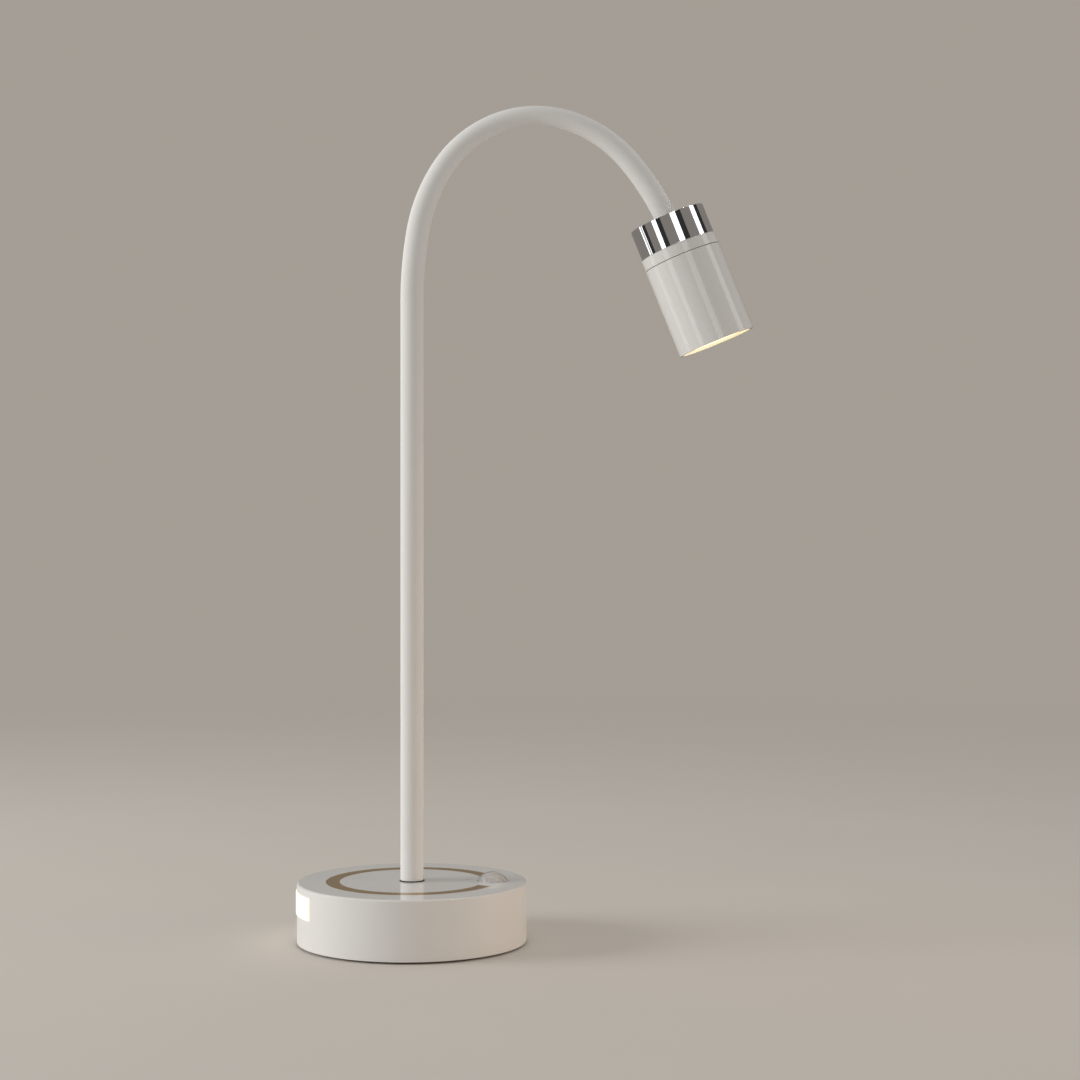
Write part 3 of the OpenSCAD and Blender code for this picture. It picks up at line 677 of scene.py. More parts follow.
rolled = add(tree, "ShaderNodeCombineXYZ", {"X": calc(tree, "MULTIPLY", radius, calc(tree, "COSINE", angle)),
                                            "Y": calc(tree, "MULTIPLY", radius, calc(tree, "SINE", angle)),
                                            "Z": height}).outputs["Vector"]
tube = add(tree, "GeometryNodeSetPosition", {"Geometry": grid, "Position": rolled}).outputs["Geometry"]
tube = add(tree, "GeometryNodeMergeByDistance",
           {"Geometry": tube, "Distance": 0.001 * MM}).outputs["Geometry"]


def sleeve_squeeze(lean, own):
    reach = calc(tree, "SQRT", calc(tree, "ADD", calc(tree, "POWER", own["X"], 2.0),
                                    calc(tree, "POWER", own["Y"], 2.0)))
    depth = map_range(tree, reach, 0.0, 1.0, given["Inner Radius"], given["Outer Radius"])
    flatter = calc(tree, "MULTIPLY", calc(tree, "MULTIPLY", given["Flattening"],
                                          calc(tree, "POWER", lean, 2.0)), depth)
    return calc(tree, "SUBTRACT", 1.0, flatter)


tube = lay_on_line(tree, tube, given, sleeve_squeeze)
end_tree(tree, smooth_but_ends(tree, tube), given["Material"])
print("wall tree:", len(tree.nodes), "nodes")

# %% [markdown]
# ## Cutting the neck into lengths
# A piece can bend across one joint only, so each length of sleeve runs from the middle of one
# segment to the middle of the next, with its hinge halfway. Neighbouring lengths meet at their
# cuts.

# %% Neck lengths
halves = [(a + b) / 2 for a, b in zip(marks, marks[1:])]
cuts = [0.0] + halves[1:-1] + [marks[-1]]
lengths = list(zip(cuts, cuts[1:]))


def point_at(length):
    walked = 0.0
    for a, b in zip(line, line[1:]):
        step = (b - a).length
        if walked + step >= length:
            return a.lerp(b, (length - walked) / step)
        walked += step
    return line[-1].copy()


def bend_piece(piece, start, end):
    a = point_at(start)
    b = point_at(end)
    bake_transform(piece)


print("lengths in mm:", [round((b - a) / MM, 1) for a, b in lengths])

# %% [markdown]
# The sleeve's radius at the stem comes from its first length, and its bore from the conduit.
# Over the arch the sleeve is about 15 % narrower across the bend than along it.

# %% Sleeve and conduit pieces
sleeve_r = measure("neck_sleeve_1", Vector(), UP)[2]
conduit_r = measure("neck_conduit_1", Vector(), UP)[2]
BORE_GAP = 0.15 * MM
CONDUIT_WALL = 1.1 * MM
for i, (start, end) in enumerate(lengths):
    number = i + 1
    shared = {"Line": neck_line, "Start": start, "End": end}
    covered = [number, number + 1] if number == len(lengths) else [number]
    mesh = grow("sleeve_%d" % number, wall_tree, {
        **shared, "Inner Radius": conduit_r + BORE_GAP, "Outer Radius": sleeve_r, "Around": 72,
        "Rows": round((end - start) / (1.1 * MM)), "Flattening": 0.149, "Material": finishes["silicone"]})
    sleeve = new_piece(mesh.name, mesh, "silicone", ["neck_sleeve_%d" % n for n in covered])
    bend_piece(sleeve, start, end)
    mesh = grow("conduit_%d" % number, wall_tree, {
        **shared, "Inner Radius": conduit_r - CONDUIT_WALL, "Outer Radius": conduit_r, "Around": 32,
        "Rows": round((end - start) / (0.37 * MM)), "Ridge Depth": 0.35 * MM, "Ridge Pitch": 2.2 * MM,
        "Material": finishes["conduit_steel"]})
    conduit = new_piece(mesh.name, mesh, "conduit_steel", ["neck_conduit_%d" % n for n in covered])
    bend_piece(conduit, start, end)
print("sleeve radius", round(sleeve_r / MM, 2), "mm; lengths", len(lengths))

# %% [markdown]
# ## Where the small parts stand
# Screws, LEDs and chips each fill one node with several loose bodies. A copy of the node's mesh
# is split into those bodies, and the box of each one tells where a finer part has to stand. The
# places are handed to the trees as a mesh of loose points.

# %% Loose bodies of a node
def loose_bodies(node):
    shape = welded(node)
    left = set(shape.verts)
    found = []
    while left:
        group = {left.pop()}
        edge = list(group)
        while edge:
            vertex = edge.pop()
            for link in vertex.link_edges:
                other = link.other_vert(vertex)
                if other in left:
                    left.discard(other)
                    group.add(other)
                    edge.append(other)
        points = [vertex.co.copy() for vertex in group]
        low = Vector([min(p[k] for p in points) for k in range(3)])
        high = Vector([max(p[k] for p in points) for k in range(3)])
        found.append((low, high))
    shape.free()
    return sorted(found, key=lambda pair: tuple(pair[0] + pair[1]))


def drop(holder):
    mesh = holder.data
    bpy.data.objects.remove(holder)
    bpy.data.meshes.remove(mesh)


print("screws:", len(loose_bodies("base_screws")), "chips and sockets:", len(loose_bodies("board_parts")))

# %% [markdown]
# ## A rod rolled from a grid
# Threads and cores are round bodies whose radius or place changes along their length. The tree
# rolls a flat grid about the Z axis. The first and last rows shrink to a point, and merging the
# doubled points closes the body.

# %% Rod in a tree
def rod(tree, around, rows, shape):
    grid = add(tree, "GeometryNodeMeshGrid", {
        "Size X": 1.0, "Size Y": calc(tree, "SUBTRACT", rows, 1.0),
        "Vertices X": calc(tree, "ADD", around, 1.0), "Vertices Y": rows}).outputs["Mesh"]
    flat = add(tree, "ShaderNodeSeparateXYZ",
               {"Vector": add(tree, "GeometryNodeInputPosition").outputs["Position"]}).outputs
    angle = calc(tree, "MULTIPLY", flat["X"], 2 * math.pi)
    row = calc(tree, "ROUND", calc(tree, "MULTIPLY_ADD", calc(tree, "SUBTRACT", rows, 1.0), 0.5, flat["Y"]))
    share = map_range(tree, row, 0.0, 1.0, 1.0, calc(tree, "SUBTRACT", rows, 2.0))
    body = calc(tree, "MULTIPLY", calc(tree, "GREATER_THAN", row, 0.5),
                calc(tree, "LESS_THAN", row, calc(tree, "SUBTRACT", rows, 1.5)))
    radius, height, shift_x, shift_y = shape(share, angle)
    reach = calc(tree, "MULTIPLY", radius, body)
    place = add(tree, "ShaderNodeCombineXYZ", {
        "X": calc(tree, "MULTIPLY_ADD", reach, calc(tree, "COSINE", angle), shift_x),
        "Y": calc(tree, "MULTIPLY_ADD", reach, calc(tree, "SINE", angle), shift_y),
        "Z": height}).outputs["Vector"]
    moved = add(tree, "GeometryNodeSetPosition", {"Geometry": grid, "Position": place}).outputs["Geometry"]
    return add(tree, "GeometryNodeMergeByDistance",
               {"Geometry": moved, "Distance": 0.0005 * MM}).outputs["Geometry"]


def joined(tree, *parts):
    node = add(tree, "GeometryNodeJoinGeometry")
    for part in reversed(parts):
        tree.links.new(part, node.inputs["Geometry"])
    return node.outputs["Geometry"]


def moved_by(tree, geometry, offset):
    return add(tree, "GeometryNodeTransform",
               {"Geometry": geometry, "Translation": offset}).outputs["Geometry"]


def stood_at(tree, geometry, given):
    points = add(tree, "GeometryNodeMeshToPoints", {
        "Mesh": add(tree, "GeometryNodeObjectInfo",
                    {"Object": given["Places"]}).outputs["Geometry"]}).outputs["Points"]
    turn = add(tree, "FunctionNodeAlignRotationToVector", {"Vector": given["Direction"]},
               axis="Z").outputs["Rotation"]
    return add(tree, "GeometryNodeInstanceOnPoints", {
        "Points": points, "Instance": geometry, "Rotation": turn}).outputs["Instances"]


print("rod helper ready")

# %% [markdown]
# ## Screws
# Each screw has a low domed head with a hexagon socket and a threaded shank that narrows at its
# tip. The thread is a ridge on the rod: the distance to the nearest turn of the helix sets the
# radius. One tree serves the cover, the boards, the weight and the lamp head.

# %% Screw tree
screw_tree, given = new_tree("screw", {
    "Places": ("Object", None), "Direction": ("Vector", (0, 0, 1)), "Material": ("Material", None),
    "Head Radius": ("Float", 0.002), "Head Height": ("Float", 0.001), "Shank Radius": ("Float", 0.001),
    "Length": ("Float", 0.0076), "Pitch": ("Float", 0.0005), "Rows": ("Int", 80)})
tree = screw_tree
head = add(tree, "GeometryNodeMeshCylinder", {
    "Vertices": 32, "Side Segments": 6, "Radius": given["Head Radius"],
    "Depth": given["Head Height"]}).outputs["Mesh"]
own = add(tree, "ShaderNodeSeparateXYZ",
          {"Vector": add(tree, "GeometryNodeInputPosition").outputs["Position"]}).outputs
down = calc(tree, "SUBTRACT", 0.5, calc(tree, "DIVIDE", own["Z"], given["Head Height"]))
narrow = calc(tree, "SUBTRACT", 1.0, calc(tree, "MULTIPLY", calc(tree, "POWER", down, 3.0), 0.22))
domed = add(tree, "ShaderNodeCombineXYZ", {
    "X": calc(tree, "MULTIPLY", own["X"], narrow), "Y": calc(tree, "MULTIPLY", own["Y"], narrow),
    "Z": own["Z"]}).outputs["Vector"]
head = add(tree, "GeometryNodeSetPosition", {"Geometry": head, "Position": domed}).outputs["Geometry"]
socket = add(tree, "GeometryNodeMeshCylinder", {
    "Vertices": 6, "Radius": calc(tree, "MULTIPLY", given["Head Radius"], 0.5),
    "Depth": given["Head Height"]}).outputs["Mesh"]
socket = moved_by(tree, socket, add(tree, "ShaderNodeCombineXYZ", {
    "Z": calc(tree, "MULTIPLY", given["Head Height"], -0.45)}).outputs["Vector"])
cut = add(tree, "GeometryNodeMeshBoolean", {"Mesh 1": head}, operation="DIFFERENCE")
tree.links.new(socket, cut.inputs["Mesh 2"])
head = moved_by(tree, cut.outputs["Mesh"], add(tree, "ShaderNodeCombineXYZ", {
    "Z": calc(tree, "MULTIPLY", given["Head Height"], -0.5)}).outputs["Vector"])


def thread_shape(share, angle):
    height = calc(tree, "MULTIPLY", share, given["Length"])
    turn = calc(tree, "ADD", calc(tree, "DIVIDE", height, given["Pitch"]),
                calc(tree, "DIVIDE", angle, -2 * math.pi))
    valley = calc(tree, "PINGPONG", calc(tree, "MULTIPLY", turn, 2.0), 1.0)
    crest = calc(tree, "SUBTRACT", given["Shank Radius"],
                 calc(tree, "MULTIPLY", calc(tree, "MULTIPLY", valley, 0.45),
                                                                given["Pitch"]))
    tip = calc(tree, "MINIMUM", 1.0, calc(tree, "MULTIPLY_ADD", calc(tree, "SUBTRACT", 1.0, share), 6.0, 0.4))
    return calc(tree, "MULTIPLY", crest, tip), height, 0.0, 0.0


shank = rod(tree, 16, given["Rows"], thread_shape)
whole = smooth_but_ends(tree, joined(tree, head, shank))
end_tree(tree, stood_at(tree, whole, given), given["Material"])


def screws(name, node, body, direction, head_r, head_h, shank_r, length, pitch):
    places = []
    for low, high in loose_bodies(node):
        centre = (low + high) / 2
        places.append(centre - direction * ((head_h + length) / 2 - head_h))
    holder = line_or_points(name + "_places", places)
    mesh = grow(name, screw_tree, {
        "Places": holder, "Direction": tuple(direction), "Material": finishes["steel"], "Head Radius": head_r,
        "Head Height": head_h, "Shank Radius": shank_r, "Length": length, "Pitch": pitch,
        "Rows": round(length / pitch * 4) + 2})
    drop(holder)
    new_piece(name, mesh, "steel", [node], body)
    print(name, len(places), "screws")


screws("base_screws_threaded", "base_screws", "base", UP, 2.2 * MM, 1.1 * MM, 0.95 * MM, 7.6 * MM, 0.55 * MM)
screws("ballast_screws_threaded", "ballast_screws", "base", UP, 2.9 * MM, 1.9 * MM, 1.45 * MM, 14 * MM,
       0.7 * MM)
screws("led_screws_threaded", "led_screws", "head", -head_axis, 1.9 * MM, 1.4 * MM, 1.0 * MM, 6 * MM,
       0.5 * MM)

# %% [markdown]
# ## Wires
# Springs, wires and legs are all a round section that follows a path. One tree turns a path of
# edges into a curve and sweeps a circle along it.

# %% Wire tree
wire_tree, given = new_tree("wire", {
    "Line": ("Object", None), "Material": ("Material", None), "Radius": ("Float", 0.0005),
    "Sides": ("Int", 12)})
tree = wire_tree
info = add(tree, "GeometryNodeObjectInfo", {"Object": given["Line"]}).outputs["Geometry"]
curve = add(tree, "GeometryNodeMeshToCurve", {"Mesh": info}).outputs["Curve"]
ring = add(tree, "GeometryNodeCurvePrimitiveCircle",
           {"Resolution": given["Sides"], "Radius": given["Radius"]})
swept = add(tree, "GeometryNodeCurveToMesh", {
    "Curve": curve, "Profile Curve": ring.outputs["Curve"], "Fill Caps": True}).outputs["Mesh"]
end_tree(tree, smooth_but_ends(tree, swept), given["Material"])


def wire(name, points, radius, slot, node, body, look=None, sides=12):
    holder = path(name + "_path", points)
    mesh = grow(name, wire_tree, {"Line": holder, "Material": finishes[look or slot], "Radius": radius,
                                  "Sides": sides})
    drop(holder)
    return new_piece(name, mesh, slot, [node], body, look)


# %% [markdown]
# The touch spring has open turns in the middle and a closed flat turn at each end, where it
# presses on the board and under the top plate.

# %% Touch spring
spring_low, spring_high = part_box("touch_spring")
spring_middle = (spring_low + spring_high) / 2
SPRING_WIRE = 0.35 * MM
SPRING_TURNS = 7
spring_r = (spring_high.x - spring_low.x) / 2 - SPRING_WIRE
spring_rise = spring_high.z - spring_low.z - 2 * SPRING_WIRE
CLOSED = 0.11
STEPS = SPRING_TURNS * 24
points = []
for i in range(STEPS + 1):
    t = i / STEPS
    lift = min(1.0, max(0.0, (t - CLOSED) / (1 - 2 * CLOSED)))
    lift = 0.045 * (t / CLOSED if t < CLOSED else 1) + 0.91 * lift + 0.045 * max(0.0,
                                                                                 (t - 1 + CLOSED) / CLOSED)
    angle = 2 * math.pi * SPRING_TURNS * t
    points.append(Vector((spring_middle.x + spring_r * math.cos(angle),
                          spring_middle.y + spring_r * math.sin(angle),
                          spring_low.z + SPRING_WIRE + spring_rise * lift)))
wire("touch_spring_wound", points, SPRING_WIRE, "steel", "touch_spring", "base", sides=10)
print("touch spring radius", round(spring_r / MM, 2), "mm")

# %% [markdown]
# The cell's two wires leave its edge and bow a little on their way to the plug, which has
# a rib on each side.

# %% Battery wires and plug
def add_box(shape, low, high):
    corners = bmesh.ops.create_cube(shape, size=1.0)["verts"]
    for vertex in corners:
        for k in range(3):
            vertex.co[k] = low[k] if vertex.co[k] < 0 else high[k]


def boxed(name, boxes, width=0.12):
    shape = bmesh.new()
    for low, high in boxes:
        add_box(shape, low, high)
    return soften(as_mesh(name, shape), width)


lead_low, lead_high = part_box("battery_lead")
PLUG_L = 3.5 * MM
WIRE_R = 0.65 * MM
wire_z = (lead_low.z + lead_high.z) / 2
plug_x = (lead_low.x + lead_high.x) / 2
for side, look in ((-1, "red_wire"), (1, "lead_jacket")):
    run = lead_high.y - PLUG_L - lead_low.y
    points = [Vector((plug_x + side * (1.0 + 0.35 * math.sin(math.pi * i / 12)) * MM,
                      lead_low.y + (run + 0.6 * MM) * i / 12,
                      wire_z + 0.5 * MM * math.sin(math.pi * i / 12))) for i in range(13)]
    wire("battery_wire_red" if side < 0 else "battery_wire_black", points, WIRE_R, "red_wire",
         "battery_lead", "base", look)
plug_low = Vector((lead_low.x, lead_high.y - PLUG_L, lead_low.z))
ribs = [(plug_low, lead_high)]
for side in (-1, 1):
    x = plug_x + side * 1.5 * MM
    ribs.append((Vector((x - 0.4 * MM, plug_low.y + 0.6 * MM, lead_high.z - 0.2 * MM)),
                 Vector((x + 0.4 * MM, lead_high.y - 0.6 * MM, lead_high.z + 0.35 * MM))))
new_piece("battery_plug", boxed("battery_plug", ribs, 0.15), "red_wire", ["battery_lead"], "base",
          "white_board")
print("battery wires and plug ready")

# %% [markdown]
# ## Lamp lead
# Two insulated cores are twisted together and run through the neck, from the socket on the main
# board to the LED board. Their twist depends on the length along the neck only, so it runs on
# smoothly from each length to the next.

# %% Lead tree
lead_tree, given = new_tree("lamp_lead", {
    "Line": ("Object", None), "Side": ("Vector", (0, 1, 0)), "Material": ("Material", None),
    "Start": ("Float", 0.0), "End": ("Float", 0.04), "Core Radius": ("Float", 0.0005),
    "Lay Length": ("Float", 0.016), "Rows": ("Int", 40)})
tree = lead_tree
cores = []
for half_turn in (0.0, math.pi):
    def core_shape(share, angle):
        height = calc(tree, "MULTIPLY_ADD", share, calc(tree, "SUBTRACT", given["End"], given["Start"]),
                      given["Start"])
        twist = calc(tree, "MULTIPLY_ADD", calc(tree, "DIVIDE", height, given["Lay Length"]), 2 * math.pi,
                     half_turn)
        return (given["Core Radius"], height,
                calc(tree, "MULTIPLY", calc(tree, "COSINE", twist), given["Core Radius"]),
                calc(tree, "MULTIPLY", calc(tree, "SINE", twist), given["Core Radius"]))
    cores.append(rod(tree, 12, given["Rows"], core_shape))
laid = lay_on_line(tree, joined(tree, *cores), given)
end_tree(tree, smooth_but_ends(tree, laid), given["Material"])
CORE_R = 0.49 * MM
LAY_LENGTH = 16 * MM


def lead_mesh(name, line_holder, start, end, side=SIDE):
    return grow(name, lead_tree, {
        "Line": line_holder, "Side": tuple(side), "Start": start, "End": end, "Core Radius": CORE_R,
        "Lay Length": LAY_LENGTH, "Rows": round((end - start) / (0.8 * MM)) + 3,
        "Material": finishes["lead_jacket"]})


line_length = sum((b - a).length for a, b in zip(line, line[1:]))
for i, (start, end) in enumerate(lengths):
    mesh = lead_mesh("lamp_lead_%d" % (i + 1), neck_line, start, end)
    bend_piece(new_piece(mesh.name, mesh, "lead_jacket", ["lamp_lead"]), start, end)
mesh = lead_mesh("lamp_lead_head", neck_line, lengths[-1][1], line_length - 0.01 * MM)
new_piece(mesh.name, mesh, "lead_jacket", ["lamp_lead"], "head")
lead_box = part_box("lamp_lead")
LEAD_R = 1.0 * MM
LEAD_BEND = 4.0 * MM
foot_z = lead_box[0].z + LEAD_R
foot_path = [Vector((0, lead_box[1].y - 0.8 * MM * i,
                     foot_z)) for i in range(int((lead_box[1].y - LEAD_BEND) / (0.8 * MM)))]
foot_path += [Vector((0, LEAD_BEND * (1 - math.sin(a)), foot_z + LEAD_BEND * (1 - math.cos(a))))
              for a in [math.pi / 2 * i / 10 for i in range(11)]]
foot_path.append(Vector((0, 0, neck_foot)))
foot_line = path("lead_foot_line", foot_path)
foot_length = sum((b - a).length for a, b in zip(foot_path, foot_path[1:]))
mesh = lead_mesh("lamp_lead_foot", foot_line, 0.0, foot_length - 0.01 * MM, Vector((1, 0, 0)))
new_piece(mesh.name, mesh, "lead_jacket", ["lamp_lead"], "base")
drop(foot_line)
print("lead:", round((line_length + foot_length) / MM, 1), "mm from socket to LED board")

# %% [markdown]
# ## Chips and sockets of the main board
# A chip is a moulded body with a dimple at its first pin and a row of bent legs on two sides.
# Each leg is a flat stub, a drop and a foot. The tree stands one leg at each point of a line and
# turns the second row round, so the number and pitch of the legs are inputs.

# %% Chip tree
chip_tree, given = new_tree("chip", {
    "Places": ("Object", None), "Direction": ("Vector", (0, 0, 1)), "Material": ("Material", None),
    "Size": ("Vector", (0.004, 0.004, 0.001)), "Legs": ("Int", 4), "Pitch": ("Float", 0.0008)})
tree = chip_tree
size = add(tree, "ShaderNodeSeparateXYZ", {"Vector": given["Size"]}).outputs
body_size = add(tree, "ShaderNodeCombineXYZ", {"X": size["X"], "Y": size["Y"],
                                               "Z": calc(tree, "SUBTRACT", size["Z"],
                                                         0.1 * MM)}).outputs["Vector"]
block = add(tree, "GeometryNodeMeshCube", {"Size": body_size}).outputs["Mesh"]
dimple = add(tree, "GeometryNodeMeshCylinder",
             {"Vertices": 16, "Radius": 0.25 * MM, "Depth": 0.2 * MM}).outputs["Mesh"]
dimple = moved_by(tree, dimple, add(tree, "ShaderNodeCombineXYZ", {
    "X": calc(tree, "MULTIPLY_ADD", size["X"], -0.5, 0.7 * MM),
    "Y": calc(tree, "MULTIPLY_ADD", size["Y"], 0.5, -0.7 * MM),
    "Z": calc(tree, "MULTIPLY_ADD", size["Z"], 0.5, -0.05 * MM)}).outputs["Vector"])
cut = add(tree, "GeometryNodeMeshBoolean", {"Mesh 1": block}, operation="DIFFERENCE")
tree.links.new(dimple, cut.inputs["Mesh 2"])
LEG_T = 0.12 * MM
LEG_W = 0.28 * MM
stub = moved_by(tree, add(tree, "GeometryNodeMeshCube", {"Size": (LEG_W, 0.5 * MM, LEG_T)}).outputs["Mesh"],
                (0, 0.1 * MM, 0))
fall = add(tree, "GeometryNodeMeshCube", {"Size": add(tree, "ShaderNodeCombineXYZ", {
    "X": LEG_W, "Y": LEG_T, "Z": calc(tree, "MULTIPLY", size["Z"], 0.5)}).outputs["Vector"]}).outputs["Mesh"]
fall = moved_by(tree, fall, add(tree, "ShaderNodeCombineXYZ", {
    "Y": 0.3 * MM, "Z": calc(tree, "MULTIPLY", size["Z"], -0.25)}).outputs["Vector"])
foot = moved_by(tree, add(tree, "GeometryNodeMeshCube", {"Size": (LEG_W, 0.4 * MM, LEG_T)}).outputs["Mesh"],
                add(tree, "ShaderNodeCombineXYZ", {"Y": 0.45 * MM, "Z": calc(
                    tree, "MULTIPLY_ADD", size["Z"], -0.5, LEG_T / 2)}).outputs["Vector"])
leg = joined(tree, stub, fall, foot)
span = calc(tree, "MULTIPLY", calc(tree, "SUBTRACT", given["Legs"], 1.0), given["Pitch"])
row = add(tree, "GeometryNodeMeshLine", {
    "Count": given["Legs"], "Start Location": add(tree, "ShaderNodeCombineXYZ", {
        "X": calc(tree, "MULTIPLY", span, -0.5),
        "Y": calc(tree, "MULTIPLY", size["Y"], 0.5)}).outputs["Vector"],
    "Offset": add(tree, "ShaderNodeCombineXYZ", {"X": given["Pitch"]}).outputs["Vector"]}).outputs["Mesh"]
legs = add(tree, "GeometryNodeInstanceOnPoints", {"Points": row, "Instance": leg}).outputs["Instances"]
legs_back = add(tree, "GeometryNodeTransform",
                {"Geometry": legs, "Rotation": (0, 0, math.pi)}).outputs["Geometry"]
end_tree(tree, stood_at(tree, joined(tree, cut.outputs["Mesh"], legs, legs_back), given), given["Material"])

SOCKET_H = 3.2 * MM
number = 0
sockets = []
for low, high in loose_bodies("board_parts"):
    if high.z - low.z > SOCKET_H:
        sockets.append((low, high))
        continue
    number += 1
    spot = line_or_points("chip_place", [(low + high) / 2])
    mesh = grow("chip_%d" % number, chip_tree, {
        "Places": spot, "Material": finishes["board_chips"], "Size": tuple(high - low),
        "Legs": max(3, int((high.x - low.x) / (0.9 * MM))), "Pitch": 0.8 * MM})
    drop(spot)
    new_piece(mesh.name, mesh, "board_chips", ["board_parts"], "base")
print("chips:", number, "sockets:", len(sockets))

# %% [markdown]
# The two sockets are moulded shells open on the side where the plug goes in, with two pins.

# %% Sockets
def socket_boxes(low, high):
    wall = 0.6 * MM
    boxes = [(low, Vector((high.x, high.y, low.z + wall))),
             (Vector((low.x, low.y, high.z - wall)), high),
             (low, Vector((low.x + wall, high.y, high.z))),
             (Vector((high.x - wall, low.y, low.z)), high),
             (Vector((low.x, high.y - wall, low.z)), high)]
    return boxes


def pin_boxes(low, high):
    boxes = []
    for side in (-1, 1):
        x = (low.x + high.x) / 2 + side * 1.0 * MM
        z = (low.z + high.z) / 2
        boxes.append((Vector((x - 0.3 * MM, low.y + 0.5 * MM, z - 0.3 * MM)),
                      Vector((x + 0.3 * MM, high.y - 0.3 * MM, z + 0.3 * MM))))
    return boxes


for i, (low, high) in enumerate(sockets):
    name = "socket_%d" % (i + 1)
    new_piece(name, boxed(name, socket_boxes(low, high), 0.1), "board_chips", ["board_parts"], "base",
              "white_board")
    name = "socket_pins_%d" % (i + 1)
    new_piece(name, boxed(name, pin_boxes(low, high), 0.08), "board_chips", ["board_parts"], "base", "steel")
print("sockets ready")

# %% [markdown]
# ## Night light LEDs
# Each LED is a small pale block with a sunk window filled with yellow phosphor. The tree insets
# the block's lit face, pushes the inset back and stands one LED at each place.

# %% LED tree
led_tree, given = new_tree("led", {
    "Places": ("Object", None), "Direction": ("Vector", (-1, 0, 0)), "Material": ("Material", None),
    "Size": ("Vector", (0.0028, 0.0035, 0.0008)), "Sink": ("Float", 0.0002)})
tree = led_tree
block = add(tree, "GeometryNodeMeshCube", {"Size": given["Size"]}).outputs["Mesh"]
facing = add(tree, "ShaderNodeSeparateXYZ",
             {"Vector": add(tree, "GeometryNodeInputNormal").outputs["Normal"]}).outputs["Z"]
inset = add(tree, "GeometryNodeExtrudeMesh", {
    "Mesh": block, "Selection": calc(tree, "GREATER_THAN", facing, 0.9), "Offset Scale": 0.0}, mode="FACES")
shrunk = add(tree, "GeometryNodeScaleElements", {
    "Geometry": inset.outputs["Mesh"], "Selection": inset.outputs["Top"], "Scale": 0.76}, domain="FACE")
pushed = add(tree, "GeometryNodeExtrudeMesh", {
    "Mesh": shrunk.outputs["Geometry"], "Selection": inset.outputs["Top"],
    "Offset Scale": calc(tree, "MULTIPLY", given["Sink"], -1.0)}, mode="FACES")
end_tree(tree, stood_at(tree, pushed.outputs["Mesh"], given), given["Material"])
led_bodies = loose_bodies("night_light_leds")
spots = line_or_points("led_places", [(low + high) / 2 for low, high in led_bodies])
extent = led_bodies[0][1] - led_bodies[0][0]
mesh = grow("night_light_leds_sunk", led_tree, {
    "Places": spots, "Material": finishes["led_yellow"], "Size": (extent.z, extent.y, extent.x)})
drop(spots)
new_piece(mesh.name, mesh, "led_yellow", ["night_light_leds"], "base")
print("LEDs:", len(led_bodies))

# %% [markdown]
# ## Motion sensor
# Under the lens sit the sensor's metal can with its dark filter, on three legs, and a white
# moulded holder that keeps stray light away and shows pale through the lens.

# %% Sensor
can_low, can_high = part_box("pir_sensor")
CAN_R = 4.05 * MM
CAN_H = 4.2 * MM
can_bottom = can_high.z - CAN_H
section = [(0.0, can_bottom), (CAN_R, can_bottom), (CAN_R, can_bottom + 0.5 * MM),
           (CAN_R - 0.35 * MM, can_bottom + 0.55 * MM),
           (CAN_R - 0.35 * MM, can_high.z - 0.4 * MM), (CAN_R - 0.7 * MM, can_high.z - 0.05 * MM),
           (0.0, can_high.z - 0.05 * MM)]
mesh = turned("sensor_can", section, lens_middle, UP, 64)
new_piece(mesh.name, mesh, "steel", ["pir_sensor"], "base")
mesh = turned("sensor_filter", [(0.0, can_high.z - 0.3 * MM), (2.2 * MM, can_high.z - 0.3 * MM),
                                (2.2 * MM, can_high.z),
                                (0.0, can_high.z)], lens_middle, UP, 32)
new_piece(mesh.name, mesh, "steel", ["pir_sensor"], "base", "lead_jacket")
LEG_CIRCLE = 2.5 * MM
for i in range(3):
    angle = 2 * math.pi * i / 3
    at = lens_middle + Vector((LEG_CIRCLE * math.cos(angle), LEG_CIRCLE * math.sin(angle), 0))
    wire("sensor_leg_%d" % (i + 1),
         [at + UP * (can_low.z + (can_bottom + 0.2 * MM - can_low.z) * k / 4) for k in range(5)],
         0.25 * MM, "steel", "pir_sensor", "base")
HOLDER_R = 4.95 * MM
section = [(CAN_R + 0.15 * MM, can_bottom + 1 * MM), (HOLDER_R, can_bottom + 1 * MM),
           (HOLDER_R, top_z + 0.1 * MM),
           (HOLDER_R - 0.4 * MM, top_z + 0.35 * MM), (CAN_R - 0.5 * MM, can_high.z + 0.35 * MM),
           (CAN_R - 0.9 * MM, can_high.z + 0.1 * MM), (CAN_R + 0.15 * MM, can_high.z + 0.1 * MM)]
mesh = turned("sensor_holder", section, lens_middle, UP, 96)
new_piece(mesh.name, mesh, "white_board", [], "base", "white_gloss")
print("sensor can", round(2 * CAN_R / MM, 1), "mm across")

# %% [markdown]
# ## Foot, cell, switch, port and metal parts
# The rubber foot is turned with shallow grooves underneath, for grip. The soft cell keeps its
# outline and gets well rounded edges. The other small parts keep their engineering shapes and
# get the fine radius that pressing, casting and moulding leave.

# %% Foot
foot_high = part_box("foot_pad")[1]
foot_r = foot_high.x
GROOVE = 0.35 * MM
section = [(0.0, foot_high.z), (foot_r, foot_high.z), (foot_r, 0.25 * MM), (foot_r - 0.25 * MM, 0.0)]
for radius in (40, 34, 28, 22, 16):
    section += [(radius * MM, 0.0), ((radius - 0.5) * MM, GROOVE), ((radius - 1.3) * MM, GROOVE),
                ((radius - 1.8) * MM, 0.0)]
section.append((0.0, 0.0))
mesh = turned("foot_grooved", section, Vector(), UP, 160)
new_piece(mesh.name, mesh, "foot_rubber", ["foot_pad"], "base")
print("foot radius", round(foot_r / MM, 1), "mm")

